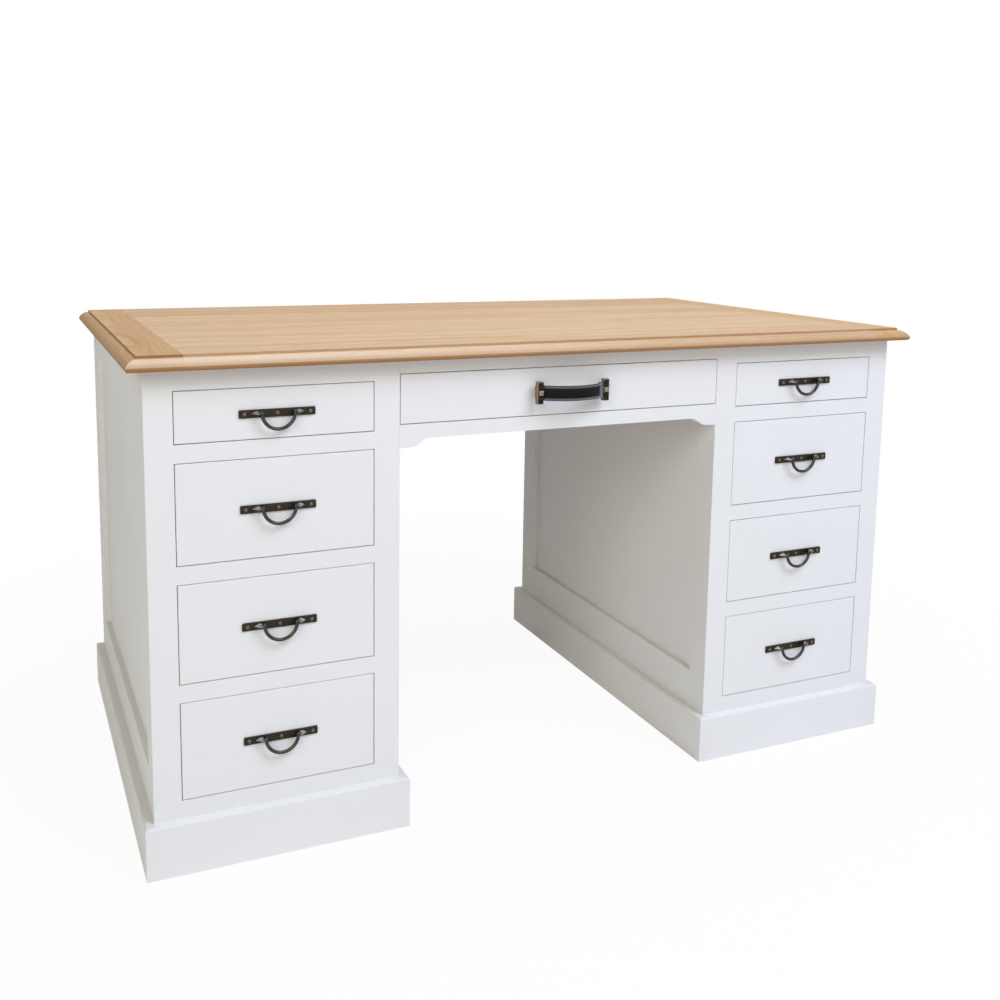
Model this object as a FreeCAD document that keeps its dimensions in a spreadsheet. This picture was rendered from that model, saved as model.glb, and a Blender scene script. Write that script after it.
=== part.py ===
import FreeCAD, Part
import math
import os
from types import SimpleNamespace

import Sketcher

# A kneehole desk: two pedestals of drawers, a shallow drawer between them and an oak top.
# Millimetres. X runs to the right, Y to the back and Z up. The origin is on the floor, under
# the middle of the desk.

Vector = FreeCAD.Vector

SIZES = {
    # the whole desk
    "desk_width": 1400,
    "desk_depth": 800,
    "desk_height": 780,
    # top: thickness, overhangs past the carcase, and the steps and arcs of its moulded edge
    "top_thickness": 22,
    "side_overhang": 25,
    "front_overhang": 30,
    "back_overhang": 20,
    "edge_quirk": 3.8,
    "edge_set_in": 16.6,
    "edge_roll_radius": 21,
    "edge_nose_radius": 4.8,
    "breadboard_width": 80,
    "cleat_thickness": 20,
    "cleat_end_gap": 20,
    # pedestals
    "pedestal_width": 382,
    "stile_width": 41,
    "frame_thickness": 22,
    "bottom_rail_height": 110,
    "drawer_rail_height": 27,
    "top_rail_height": 31.5,
    "shallow_opening": 78,
    "edge_ease": 1,
    # panelled sides and backs
    "side_thickness": 22,
    "side_front_stile": 26,
    "side_back_stile": 55,
    "side_bottom_rail": 150,
    "side_top_rail": 63,
    "back_thickness": 20,
    "back_stile": 50,
    "panel_recess": 9.5,
    "panel_thickness": 8,
    "panel_rebate": 10,
    "panel_play": 1,
    # plinth and pedestal floor
    "plinth_height": 82,
    "plinth_thickness": 14,
    "plinth_round": 4,
    "floor_board_thickness": 15,
    # rails round the centre drawer
    "centre_top_rail_height": 22,
    "centre_opening": 80,
    "ogee_rail_height": 23,
    "ogee_drop": 13.5,
    "ogee_shoulder": 16,
    "ogee_run": 36,
    "apron_thickness": 20,
    # drawers: clear room round and behind them, and their boards
    "front_gap": 1.25,
    "front_set_in": 2,
    "drawer_back_room": 110,
    "centre_back_room": 190,
    "front_groove_depth": 6,
    "box_side_gap": 3,
    "box_side_thickness": 12,
    "box_back_thickness": 12,
    "box_bottom_thickness": 6,
    "box_headroom": 5,
    "groove_lift": 10,
    "groove_depth": 5,
    "groove_play": 0.2,
    "side_round": 2,
    # runners
    "runner_height": 18,
    "guide_height": 12,
    "guide_play": 0.5,
    "seat_play": 0.3,
    "stop_length": 20,
    "stop_height": 12,
    "centre_runner_height": 20,
    "centre_runner_width": 30,
    # iron pull: strip plate
    "plate_height": 12.2,
    "plate_thickness": 2.5,
    "plate_corner": 1.5,
    "plate_ease": 0.6,
    # iron pull: screws, with the outer ones' room to the lugs and to the ends of the plate
    "lug_screw_gap": 4.9,
    "screw_end_gap": 8,
    "screw_head_radius": 3,
    "screw_head_height": 2,
    "screw_radius": 1.6,
    "screw_length": 14,
    "screw_play": 0.15,
    # iron pull: lugs and bail
    "bail_radius": 24.7,
    "bail_rod_radius": 2.7,
    "bail_standoff": 7,
    "bail_rise": 1.5,
    "knuckle_radius": 3,
    "pintle_radius": 1.5,
    "pintle_length": 3,
    "pintle_play": 0.15,
    "bail_side_play": 0.4,
    "lug_length": 13,
    "lug_side_margin": 0.9,
    "lug_nose": 5.5,
    "lug_tip_height": 3,
    "lug_tip_projection": 1.2,
    "lug_ease": 0.8,
    # leather strap pull
    "bracket_inner_half": 55.5,
    "bracket_width": 10.5,
    "bracket_wall": 1.8,
    "bracket_height": 36.4,
    "bracket_bar_depth": 5.5,
    "bracket_projection": 15,
    "bracket_foot_width": 6,
    "bracket_foot_height": 20,
    "bracket_ease": 1.2,
    "bracket_screw_cover": 7,
    "tab_height": 18.6,
    "tab_play": 0.3,
    "strap_height": 24.5,
    "strap_thickness": 3.5,
    "strap_bow": 20,
    "arch_set_in": 1.5,
    "stud_width": 8,
    "stud_height": 2.5,
    "stud_chamfer": 1.2,
    "stud_shank_radius": 1.5,
    "stud_shank_length": 4,
    "stud_play": 0.15,
    # how far every cut runs past what it cuts
    "cut_overrun": 5,
}

SCREWS_PER_PULL = 3
TALL_DRAWER_COUNT = 3
NODES = []

# how near two places on a shape count as one
TOUCHING = 1e-4

doc = FreeCAD.newDocument("kneehole_desk")
sheet = doc.addObject("Spreadsheet::Sheet", "Sizes")


class Length:
    """A length in millimetres, with the formula that keeps it tied to the sheet."""

    def __init__(self, value, formula):
        self.value = value
        self.formula = formula

    def combine(self, other, sign, result, swap=False):
        text = other.formula if isinstance(other, Length) else str(other)
        first, second = (text, self.formula) if swap else (self.formula, text)
        return Length(result, "({} {} {})".format(first, sign, second))

    def __add__(self, other):
        return self.combine(other, "+", self.value + number(other))

    def __radd__(self, other):
        return self.combine(other, "+", number(other) + self.value, swap=True)

    def __sub__(self, other):
        return self.combine(other, "-", self.value - number(other))

    def __rsub__(self, other):
        return self.combine(other, "-", number(other) - self.value, swap=True)

    def __mul__(self, other):
        return self.combine(other, "*", self.value * number(other))

    __rmul__ = __mul__

    def __truediv__(self, other):
        return self.combine(other, "/", self.value / number(other))

    def __neg__(self):
        return Length(-self.value, "(-1 * {})".format(self.formula))


def number(length):
    return length.value if isinstance(length, Length) else length


def root_of(length):
    """Square root, as the spring of an arc needs it."""
    return Length(math.sqrt(length.value), "sqrt({})".format(length.formula))


# every size of the sheet, by its name
s = SimpleNamespace()


def keep(name, content, value):
    """Write one named cell of the sheet and offer it as a Length."""
    keep.row += 1
    cell = "B{}".format(keep.row)
    sheet.set("A{}".format(keep.row), name)
    sheet.set(cell, content)
    sheet.setAlias(cell, name)
    setattr(s, name, Length(value, "Sizes." + name))


keep.row = 0


def derive(name, length):
    """Keep a worked-out size in the sheet under its own name."""
    keep(name, "=" + length.formula.replace("Sizes.", ""), length.value)


for word, millimetres in SIZES.items():
    keep(word, str(millimetres), millimetres)

derive("carcase_width", s.desk_width - s.side_overhang * 2)
derive("carcase_depth", s.desk_depth - s.front_overhang - s.back_overhang)
derive("carcase_height", s.desk_height - s.top_thickness)
derive("front_face", s.front_overhang - s.desk_depth / 2)
derive("behind_frame", s.front_face + s.frame_thickness)
derive("back_face", s.front_face + s.carcase_depth)
derive("pedestal_inner_width", s.pedestal_width - s.side_thickness * 2)
derive("pedestal_inner_depth", s.carcase_depth - s.frame_thickness - s.back_thickness)
derive("kneehole_width", s.carcase_width - s.pedestal_width * 2)
derive("drawer_opening_width", s.pedestal_width - s.stile_width * 2)
derive("centre_opening_base", s.carcase_height - s.centre_top_rail_height - s.centre_opening)
derive("side_rail_run", s.carcase_depth - s.frame_thickness - s.side_front_stile - s.side_back_stile)
derive("side_frame_depth", s.carcase_depth - s.frame_thickness)
derive("side_panel_height", s.carcase_height - s.side_bottom_rail - s.side_top_rail)
derive("front_thickness", s.frame_thickness - s.front_set_in)
derive("box_width", s.drawer_opening_width - s.box_side_gap * 2)
derive("box_length", s.carcase_depth - s.front_thickness - s.back_thickness - s.drawer_back_room)
derive("centre_box_width", s.kneehole_width - s.box_side_gap * 2)
derive("centre_box_length",
       s.carcase_depth - s.front_thickness - s.apron_thickness - s.centre_back_room)
derive("lug_start", s.bail_radius + s.knuckle_radius + s.bail_side_play)
derive("lug_height", s.plate_height - s.lug_side_margin * 2)
derive("lug_projection", s.bail_standoff + s.lug_nose)
derive("screw_spacing", s.lug_start + s.lug_length + s.lug_screw_gap + s.screw_head_radius)
derive("plate_length", (s.screw_spacing + s.screw_end_gap) * 2)
derive("strap_half_length", s.bracket_inner_half + s.bracket_width - s.bracket_wall)
derive("bracket_screw_grip", s.bracket_projection - s.bracket_screw_cover)

# The rails and the shallow drawer leave the tall drawers equal shares of a pedestal's height.
rails_height = s.bottom_rail_height + s.top_rail_height + s.drawer_rail_height * TALL_DRAWER_COUNT
derive("tall_opening",
       (s.carcase_height - rails_height - s.shallow_opening) / TALL_DRAWER_COUNT)

# levels of the drawer openings, from the lowest up: each rests on the rail below it
OPENING_HEIGHTS = [s.tall_opening] * TALL_DRAWER_COUNT + [s.shallow_opening]
OPENING_BASES = [s.bottom_rail_height]
for height in OPENING_HEIGHTS[:-1]:
    OPENING_BASES.append(OPENING_BASES[-1] + height + s.drawer_rail_height)


def bind(thing, name, length):
    """Tie one property of an object to the sheet."""
    if isinstance(length, Length):
        thing.setExpression(name, length.formula)
    else:
        setattr(thing, name, length)


def place(thing, x=0, y=0, z=0, turn=0):
    """Set where an object stands; turn is a rotation, or degrees about the vertical."""
    if not isinstance(turn, FreeCAD.Rotation):
        turn = FreeCAD.Rotation(Vector(0, 0, 1), turn)
    thing.Placement = FreeCAD.Placement(Vector(number(x), number(y), number(z)), turn)
    for axis, length in (("x", x), ("y", y), ("z", z)):
        if isinstance(length, Length):
            thing.setExpression("Placement.Base." + axis, length.formula)


def publish(name, thing):
    """Name an object as one sub-part of the desk."""
    thing.Label = name
    NODES.append(thing)
    return thing


def group(name, things):
    """Several separate solids held as one object."""
    compound = doc.addObject("Part::Compound", name)
    compound.Links = things
    return compound


def box(name, corner, extent):
    """A plain board, from its lowest corner and its three lengths."""
    board = doc.addObject("Part::Box", name)
    for side, length in zip(("Length", "Width", "Height"), extent):
        bind(board, side, length)
    place(board, *corner)
    return board


def new_sketch(body, name, role, offset=None):
    """A sketch on one of the body's own planes, or ahead of it by an offset."""
    sketch = body.newObject("Sketcher::SketchObject", name)
    plane = [item for item in body.Origin.OriginFeatures if item.Role == role][0]
    sketch.AttachmentSupport = (plane, [""])
    sketch.MapMode = "FlatFace"
    if offset is not None:
        sketch.AttachmentOffset = FreeCAD.Placement(Vector(0, 0, number(offset)), FreeCAD.Rotation())
        sketch.setExpression("AttachmentOffset.Base.z", offset.formula)
    return sketch


def constrain(sketch, kind, *terms):
    """Add one measured constraint whose last term may be tied to the sheet."""
    length = terms[-1]
    index = sketch.addConstraint(Sketcher.Constraint(kind, *terms[:-1], number(length)))
    if isinstance(length, Length):
        sketch.setExpression("Constraints[{}]".format(index), length.formula)


def arc_between(start, end, radius):
    """The short arc between two points; a positive radius turns left on the way."""
    chord = end - start
    half = chord.Length / 2
    rise = math.sqrt(max(radius * radius - half * half, 0))
    left = Vector(-chord.y, chord.x, 0).normalize()
    centre = start + chord * 0.5 + left * math.copysign(rise, radius)
    first, last = (start, end) if radius > 0 else (end, start)
    angle_first = math.atan2(first.y - centre.y, first.x - centre.x)
    angle_last = math.atan2(last.y - centre.y, last.x - centre.x)
    circle = Part.Circle(centre, Vector(0, 0, 1), abs(radius))
    return Part.ArcOfCircle(circle, angle_first, angle_last)


def add_outline(sketch, corners, arcs=None):
    """Draw a closed outline. arcs gives the radius of the arc that leaves a numbered corner."""
    arcs = arcs or {}
    points = [Vector(number(across), number(up), 0) for across, up in corners]
    base = sketch.GeometryCount
    starts = []
    ends = []
    for index, start in enumerate(points):
        end = points[(index + 1) % len(points)]
        radius = arcs.get(index)
        if radius is None:
            sketch.addGeometry(Part.LineSegment(start, end), False)
        else:
            sketch.addGeometry(arc_between(start, end, number(radius)), False)
        leftward = radius is None or number(radius) > 0
        starts.append(1 if leftward else 2)
        ends.append(2 if leftward else 1)
    for index in range(len(points)):
        after = (index + 1) % len(points)
        sketch.addConstraint(Sketcher.Constraint(
            "Coincident", base + index, ends[index], base + after, starts[after]))
    for index, (across, up) in enumerate(corners):
        constrain(sketch, "DistanceX", -1, 1, base + index, starts[index], across)
        constrain(sketch, "DistanceY", -1, 1, base + index, starts[index], up)
    for index, radius in arcs.items():
        constrain(sketch, "Radius", base + index, radius if number(radius) > 0 else -radius)


def add_rectangle(sketch, across, up, width, height):
    add_outline(sketch, [(across, up), (across + width, up),
                         (across + width, up + height), (across, up + height)])


def add_circle(sketch, across, up, radius):
    centre = Vector(number(across), number(up), 0)
    index = sketch.addGeometry(Part.Circle(centre, Vector(0, 0, 1), number(radius)), False)
    constrain(sketch, "DistanceX", -1, 1, index, 3, across)
    constrain(sketch, "DistanceY", -1, 1, index, 3, up)
    constrain(sketch, "Radius", index, radius)


def pad(body, sketch, length, reverse=False):
    feature = body.newObject("PartDesign::Pad", sketch.Name + "_pad")
    feature.Profile = sketch
    bind(feature, "Length", length)
    feature.Reversed = reverse
    doc.recompute()
    return feature


def pocket(body, sketch, length, reverse=False, both_ways=False):
    """Cut a sketch into the body, and make sure that it took something away."""
    before = body.Tip.Shape.Volume
    feature = body.newObject("PartDesign::Pocket", sketch.Name + "_pocket")
    feature.Profile = sketch
    feature.Type = "Length"
    if both_ways:
        feature.SideType = "Symmetric"
    bind(feature, "Length", length)
    feature.Reversed = reverse
    doc.recompute()
    if feature.Shape.Volume >= before:
        raise RuntimeError("{} cut nothing".format(sketch.Name))
    return feature


def ease_edges(body, name, chosen, radius):
    """Round the edges of the body that the test picks."""
    doc.recompute()
    tip = body.Tip
    names = ["Edge{}".format(index + 1) for index, edge in enumerate(tip.Shape.Edges) if chosen(edge)]
    feature = body.newObject("PartDesign::Fillet", name)
    feature.Base = (tip, names)
    bind(feature, "Radius", radius)
    doc.recompute()
    return feature


def lies_at(edge, axis, level):
    """True where both ends of an edge lie at one level of an axis."""
    return all(abs(getattr(vertex.Point, axis) - number(level)) < TOUCHING for vertex in edge.Vertexes)


def copy_of(name, things, x=0, y=0, z=0, turn=0):
    """A placed copy of a finished piece, or of several."""
    copied = group(name, things)
    place(copied, x, y, z, turn)
    return copied


# Top. The field's boards run lengthwise; the breadboard ends run front to back. One moulding
# goes round all three: a small step down, then a flat roll that runs smoothly into a round nose.

# The nose touches the tip and the underside. The roll starts at the foot of the step, and its
# centre lies one roll radius from there and the difference of the radii from the nose's centre.
derive("edge_step_level", s.top_thickness - s.edge_quirk)
derive("nose_from_step", s.edge_set_in - s.edge_nose_radius)
derive("nose_below_step", s.edge_step_level - s.edge_nose_radius)
derive("centres_apart", s.edge_roll_radius - s.edge_nose_radius)
derive("step_to_nose", root_of(s.nose_from_step * s.nose_from_step
                               + s.nose_below_step * s.nose_below_step))
derive("roll_centre_along", (s.edge_roll_radius * s.edge_roll_radius - s.centres_apart * s.centres_apart
                             + s.step_to_nose * s.step_to_nose) / (s.step_to_nose * 2))
derive("roll_centre_aside", root_of(s.edge_roll_radius * s.edge_roll_radius
                                    - s.roll_centre_along * s.roll_centre_along))
derive("roll_centre_in", s.edge_set_in - (s.nose_from_step * s.roll_centre_along
                                          - s.nose_below_step * s.roll_centre_aside) / s.step_to_nose)
derive("roll_centre_up", s.edge_step_level - (s.nose_below_step * s.roll_centre_along
                                              + s.nose_from_step * s.roll_centre_aside) / s.step_to_nose)
derive("roll_end_in", s.roll_centre_in
       - s.edge_roll_radius * (s.roll_centre_in - s.edge_nose_radius) / s.centres_apart)
derive("roll_end_up", s.roll_centre_up
       + s.edge_roll_radius * (s.edge_nose_radius - s.roll_centre_up) / s.centres_apart)


def top_section(body, name):
    """The section across the depth of the top, moulded on both edges."""
    tip = s.desk_depth / 2
    tips = (-tip, tip)
    sketch = new_sketch(body, name, "YZ_Plane")
    add_outline(sketch, [
        (tips[0] + s.edge_nose_radius, 0),
        (tips[1] - s.edge_nose_radius, 0),
        (tips[1] - s.roll_end_in, s.roll_end_up),
        (tips[1] - s.edge_set_in, s.edge_step_level),
        (tips[1] - s.edge_set_in, s.top_thickness),
        (tips[0] + s.edge_set_in, s.top_thickness),
        (tips[0] + s.edge_set_in, s.edge_step_level),
        (tips[0] + s.roll_end_in, s.roll_end_up),
    ], {1: s.edge_nose_radius, 2: s.edge_roll_radius, 6: s.edge_roll_radius, 7: s.edge_nose_radius})
    return sketch


def breadboard_end(name):
    """One end of the top, with its tip at x = 0 and its joint towards +X."""
    body = doc.addObject("PartDesign::Body", name)
    pad(body, top_section(body, name + "_section"), s.breadboard_width)
    outside = -s.cut_overrun
    waste = new_sketch(body, name + "_waste", "XZ_Plane")
    add_outline(waste, [
        (outside, outside),
        (s.edge_nose_radius, outside),
        (s.edge_nose_radius, 0),
        (s.roll_end_in, s.roll_end_up),
        (s.edge_set_in, s.edge_step_level),
        (s.edge_set_in, s.top_thickness + s.cut_overrun),
        (outside, s.top_thickness + s.cut_overrun),
    ], {2: -s.edge_nose_radius, 3: -s.edge_roll_radius})
    pocket(body, waste, s.desk_depth + s.cut_overrun * 2, both_ways=True)
    return body


field = doc.addObject("PartDesign::Body", "top_field_boards")
pad(field, top_section(field, "field_section"), s.desk_width - s.breadboard_width * 2)
place(field, s.breadboard_width - s.desk_width / 2, 0, s.carcase_height)
publish("top_field_boards", field)
left_end = breadboard_end("top_breadboard_left")
place(left_end, -s.desk_width / 2, 0, s.carcase_height)
publish("top_breadboard_left", left_end)
right_end = breadboard_end("top_breadboard_right")
place(right_end, s.desk_width / 2, 0, s.carcase_height, turn=180)
publish("top_breadboard_right", right_end)


# Framed and panelled sides. A frame is one glued piece with a rebate round the inner face of
# its opening, and its panel lies in the rebate, set back from the outer face.


def panel_frame(name, role, width, height, opening, inward, thickness, ease):
    """A frame with a rebated opening (across, up, width, height) on one of the body's planes."""
    body = doc.addObject("PartDesign::Body", name)
    across, up, open_width, open_height = opening
    outer = new_sketch(body, name + "_outer", role)
    add_rectangle(outer, 0, 0, width, height)
    add_rectangle(outer, across, up, open_width, open_height)
    pad(body, outer, s.panel_recess, reverse=not inward)
    rebated = new_sketch(body, name + "_rebated", role, s.panel_recess if inward else -s.panel_recess)
    add_rectangle(rebated, 0, 0, width, height)
    add_rectangle(rebated, across - s.panel_rebate, up - s.panel_rebate,
                  open_width + s.panel_rebate * 2, open_height + s.panel_rebate * 2)
    pad(body, rebated, thickness - s.panel_recess, reverse=not inward)
    ease_edges(body, name + "_ease", ease, s.edge_ease)
    return body


def side_frame(name, inward):
    """A pedestal side; its outer face lies at x = 0 and inward gives the way to its inside."""
    opening = (s.side_front_stile, s.side_bottom_rail, s.side_rail_run, s.side_panel_height)

    def round_the_opening(edge):
        box_of = edge.BoundBox
        inside = (box_of.YMin > TOUCHING and box_of.YMax < number(s.side_frame_depth) - TOUCHING
                  and box_of.ZMin > TOUCHING and box_of.ZMax < number(s.carcase_height) - TOUCHING)
        return lies_at(edge, "x", 0) and inside

    return panel_frame(name, "YZ_Plane", s.side_frame_depth, s.carcase_height, opening,
                       inward, s.side_thickness, round_the_opening)


def back_frame(name):
    """A pedestal back; its outer face lies at y = 0 and its inside towards -Y."""
    opening = (s.back_stile, s.side_bottom_rail, s.pedestal_inner_width - s.back_stile * 2,
               s.side_panel_height)

    def round_the_opening(edge):
        box_of = edge.BoundBox
        inside = (box_of.XMin > TOUCHING and box_of.XMax < number(s.pedestal_inner_width) - TOUCHING
                  and box_of.ZMin > TOUCHING and box_of.ZMax < number(s.carcase_height) - TOUCHING)
        return lies_at(edge, "y", 0) and inside

    return panel_frame(name, "XZ_Plane", s.pedestal_inner_width, s.carcase_height, opening,
                       True, s.back_thickness, round_the_opening)


def face_frame(name):
    """The front frame of a pedestal: two stiles and five rails round four drawer openings."""
    body = doc.addObject("PartDesign::Body", name)
    sketch = new_sketch(body, name + "_outline", "XZ_Plane")
    add_rectangle(sketch, 0, 0, s.pedestal_width, s.carcase_height)
    for base, tall in zip(OPENING_BASES, OPENING_HEIGHTS):
        add_rectangle(sketch, s.stile_width, base, s.drawer_opening_width, tall)
    front = pad(body, sketch, s.frame_thickness)
    level = front.Shape.BoundBox.YMin

    def front_corner(edge):
        upright = abs(edge.BoundBox.ZLength - number(s.carcase_height)) < TOUCHING
        return lies_at(edge, "y", level) and upright

    ease_edges(body, name + "_ease", front_corner, s.edge_ease)
    return body


def plinth(name, x):
    """Four skirting boards, mitred at the corners, with a rounded top edge."""
    boards = []
    middle_x = x + s.pedestal_width / 2
    middle_y = s.front_face + s.carcase_depth / 2
    runs = ((s.pedestal_width, s.carcase_depth, 0), (s.carcase_depth, s.pedestal_width, 90),
            (s.pedestal_width, s.carcase_depth, 180), (s.carcase_depth, s.pedestal_width, 270))
    for index, (run, span, turn) in enumerate(runs):
        body = doc.addObject("PartDesign::Body", "{}_board_{}".format(name, index))
        sketch = new_sketch(body, body.Name + "_plan", "XY_Plane")
        inner = -span / 2
        outer = inner - s.plinth_thickness
        reach = run / 2
        add_outline(sketch, [(-reach - s.plinth_thickness, outer), (reach + s.plinth_thickness, outer),
                             (reach, inner), (-reach, inner)])
        pad(body, sketch, s.plinth_height)

        def top_outer(edge, level=outer):
            return lies_at(edge, "z", s.plinth_height) and lies_at(edge, "y", level)

        ease_edges(body, body.Name + "_round", top_outer, s.plinth_round)
        place(body, middle_x, middle_y, 0, turn)
        boards.append(body)
    return publish(name, group(name, boards))


def panel_set(name, x):
    """The outer, inner and back panel of one pedestal, each lying in its frame's rebate."""
    grip = s.panel_rebate - s.panel_play
    depth = s.side_rail_run + grip * 2
    tall = s.side_panel_height + grip * 2
    front = s.behind_frame + s.side_front_stile - grip
    low = s.side_bottom_rail - grip
    back_width = s.pedestal_inner_width - s.back_stile * 2 + grip * 2
    sheets = [
        box(name + "_west", (x + s.panel_recess, front, low), (s.panel_thickness, depth, tall)),
        box(name + "_east", (x + s.pedestal_width - s.panel_recess - s.panel_thickness, front, low),
            (s.panel_thickness, depth, tall)),
        box(name + "_north", (x + s.side_thickness + s.back_stile - grip,
                              s.back_face - s.panel_recess - s.panel_thickness, low),
            (back_width, s.panel_thickness, tall)),
    ]
    return publish(name, group(name, sheets))


def runner_pair(name, inner_half, box_half, base, height, run, drawer_end, guided):
    """Runners, guides and stops of one drawer, on both sides of its centre line."""
    pieces = []
    reach = box_half - s.box_side_thickness - s.box_side_gap
    width = inner_half - reach
    for side, sign in (("left", -1), ("right", 1)):
        low = -inner_half if sign < 0 else reach
        pieces.append(box("{}_{}_runner".format(name, side), (low, s.behind_frame, base - height),
                          (width, run, height)))
        if guided:
            guide_width = inner_half - box_half - s.guide_play
            low = -inner_half if sign < 0 else box_half + s.guide_play
            pieces.append(box("{}_{}_guide".format(name, side), (low, s.behind_frame, base),
                              (guide_width, run, s.guide_height)))
        low = -box_half if sign < 0 else box_half - s.box_side_thickness
        pieces.append(box("{}_{}_stop".format(name, side), (low, drawer_end + s.seat_play, base),
                          (s.box_side_thickness, s.stop_length, s.stop_height)))
    return pieces


def pedestal(hand, x):
    """One pedestal, from its left corner x."""
    west, east = ("outer", "inner") if hand == "left" else ("inner", "outer")
    face = face_frame(hand + "_face_frame")
    place(face, x, s.behind_frame, 0)
    publish(hand + "_face_frame", face)
    west_frame = side_frame("{}_{}_side_frame".format(hand, west), inward=True)
    place(west_frame, x, s.behind_frame, 0)
    publish("{}_{}_side_frame".format(hand, west), west_frame)
    east_frame = side_frame("{}_{}_side_frame".format(hand, east), inward=False)
    place(east_frame, x + s.pedestal_width, s.behind_frame, 0)
    publish("{}_{}_side_frame".format(hand, east), east_frame)
    back = back_frame(hand + "_back_frame")
    place(back, x + s.side_thickness, s.back_face, 0)
    publish(hand + "_back_frame", back)
    panel_set(hand + "_panels", x)
    plinth(hand + "_plinth", x)
    pieces = []
    drawer_end = s.front_face + s.front_thickness + s.box_length
    for index, base in enumerate(OPENING_BASES):
        pieces += runner_pair("{}_run_{}".format(hand, index), s.pedestal_inner_width / 2,
                              s.box_width / 2, base, s.runner_height, s.pedestal_inner_depth,
                              drawer_end, guided=True)
    runners = group(hand + "_drawer_runners", pieces)
    place(runners, x + s.pedestal_width / 2)
    publish(hand + "_drawer_runners", runners)


LEFT = -s.carcase_width / 2
RIGHT = s.carcase_width / 2 - s.pedestal_width
pedestal("left", LEFT)
pedestal("right", RIGHT)

floor_top = s.bottom_rail_height - s.runner_height
floor_low = floor_top - s.floor_board_thickness
publish("bottom_boards", group("bottom_boards", [
    box("{}_floor".format(hand), (x + s.side_thickness, s.behind_frame, floor_low),
        (s.pedestal_inner_width, s.pedestal_inner_depth, s.floor_board_thickness))
    for hand, x in (("left", LEFT), ("right", RIGHT))]))

cleats = []
for hand, x in (("left", LEFT), ("right", RIGHT)):
    inner_corners = (x + s.side_thickness, x + s.pedestal_width - s.side_thickness - s.cleat_thickness)
    for side, low in zip(("west", "east"), inner_corners):
        cleats.append(box("{}_{}_cleat".format(hand, side),
                          (low, s.behind_frame + s.cleat_end_gap, s.carcase_height - s.cleat_thickness),
                          (s.cleat_thickness, s.pedestal_inner_depth - s.cleat_end_gap * 2,
                           s.cleat_thickness)))
publish("top_fixing_cleats", group("top_fixing_cleats", cleats))


# Kneehole: a rail above the centre drawer, a shaped rail below it, an apron at the back.

half_knee = s.kneehole_width / 2
publish("centre_top_rail", box(
    "centre_top_rail", (-half_knee, s.front_face, s.carcase_height - s.centre_top_rail_height),
    (s.kneehole_width, s.frame_thickness, s.centre_top_rail_height)))

derive("ogee_arc_radius", (s.ogee_run * s.ogee_run / 4 + s.ogee_drop * s.ogee_drop / 4) / s.ogee_drop)
derive("ogee_low_edge", s.centre_opening_base - s.ogee_rail_height - s.ogee_drop)


def ogee_rail(name):
    """The rail below the centre drawer: each end drops in an S of two equal arcs."""
    body = doc.addObject("PartDesign::Body", name)
    sketch = new_sketch(body, name + "_outline", "XZ_Plane")
    low = s.ogee_low_edge
    high = low + s.ogee_drop
    top = s.centre_opening_base
    step_in = half_knee - s.ogee_shoulder
    turn_at = step_in - s.ogee_run / 2
    inner = step_in - s.ogee_run
    middle = low + s.ogee_drop / 2
    bend = s.ogee_arc_radius
    add_outline(sketch, [
        (-half_knee, low), (-step_in, low), (-turn_at, middle), (-inner, high),
        (inner, high), (turn_at, middle), (step_in, low), (half_knee, low),
        (half_knee, top), (-half_knee, top),
    ], {1: bend, 2: -bend, 4: -bend, 5: bend})
    pad(body, sketch, s.frame_thickness)
    place(body, 0, s.behind_frame, 0)
    return publish(name, body)


ogee_rail("centre_ogee_rail")
publish("kneehole_back_apron", box(
    "kneehole_back_apron", (-half_knee, s.back_face - s.apron_thickness, s.ogee_low_edge),
    (s.kneehole_width, s.apron_thickness, s.carcase_height - s.ogee_low_edge)))
centre_end = s.front_face + s.front_thickness + s.centre_box_length
centre_pieces = []
centre_reach = half_knee - s.centre_runner_width
centre_run = s.carcase_depth - s.frame_thickness - s.apron_thickness
for side, low, stop_low in (("left", -half_knee, -s.centre_box_width / 2),
                            ("right", centre_reach, s.centre_box_width / 2 - s.box_side_thickness)):
    centre_pieces.append(box("centre_{}_runner".format(side),
                             (low, s.behind_frame, s.centre_opening_base - s.centre_runner_height),
                             (s.centre_runner_width, centre_run, s.centre_runner_height)))
    centre_pieces.append(box("centre_{}_stop".format(side),
                             (stop_low, centre_end + s.seat_play, s.centre_opening_base),
                             (s.box_side_thickness, s.stop_length, s.stop_height)))
publish("centre_drawer_runners", group("centre_drawer_runners", centre_pieces))


# Drawers. The front is a slab with eased edges; the sides, back and bottom are thin boards, and
# the bottom runs in grooves. A drawer's own origin is at the middle of its front's lower edge.


def drawer_front(name, opening_width, opening_height, box_width, hole_places, hole_depth):
    """A drawer front with a groove for the bottom and holes for the screws of its pull."""
    body = doc.addObject("PartDesign::Body", name)
    width = opening_width - s.front_gap * 2
    height = opening_height - s.front_gap * 2
    face = new_sketch(body, name + "_outline", "XZ_Plane")
    add_rectangle(face, -width / 2, 0, width, height)
    pad(body, face, s.front_thickness, reverse=True)

    def front_edge(edge):
        return lies_at(edge, "y", 0)

    ease_edges(body, name + "_ease", front_edge, s.edge_ease)
    groove_bottom = s.groove_lift - s.groove_play + s.seat_play - s.front_gap
    groove = new_sketch(body, name + "_groove", "XZ_Plane", -s.front_thickness)
    groove_half = box_width / 2 - s.box_side_thickness + s.groove_depth
    add_rectangle(groove, -groove_half, groove_bottom, groove_half * 2,
                  s.box_bottom_thickness + s.groove_play * 2)
    pocket(body, groove, s.front_groove_depth, reverse=True)
    holes = new_sketch(body, name + "_holes", "XZ_Plane")
    for across in hole_places:
        add_circle(holes, across, height / 2, s.screw_radius + s.screw_play)
    pocket(body, holes, hole_depth)
    return body


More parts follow.
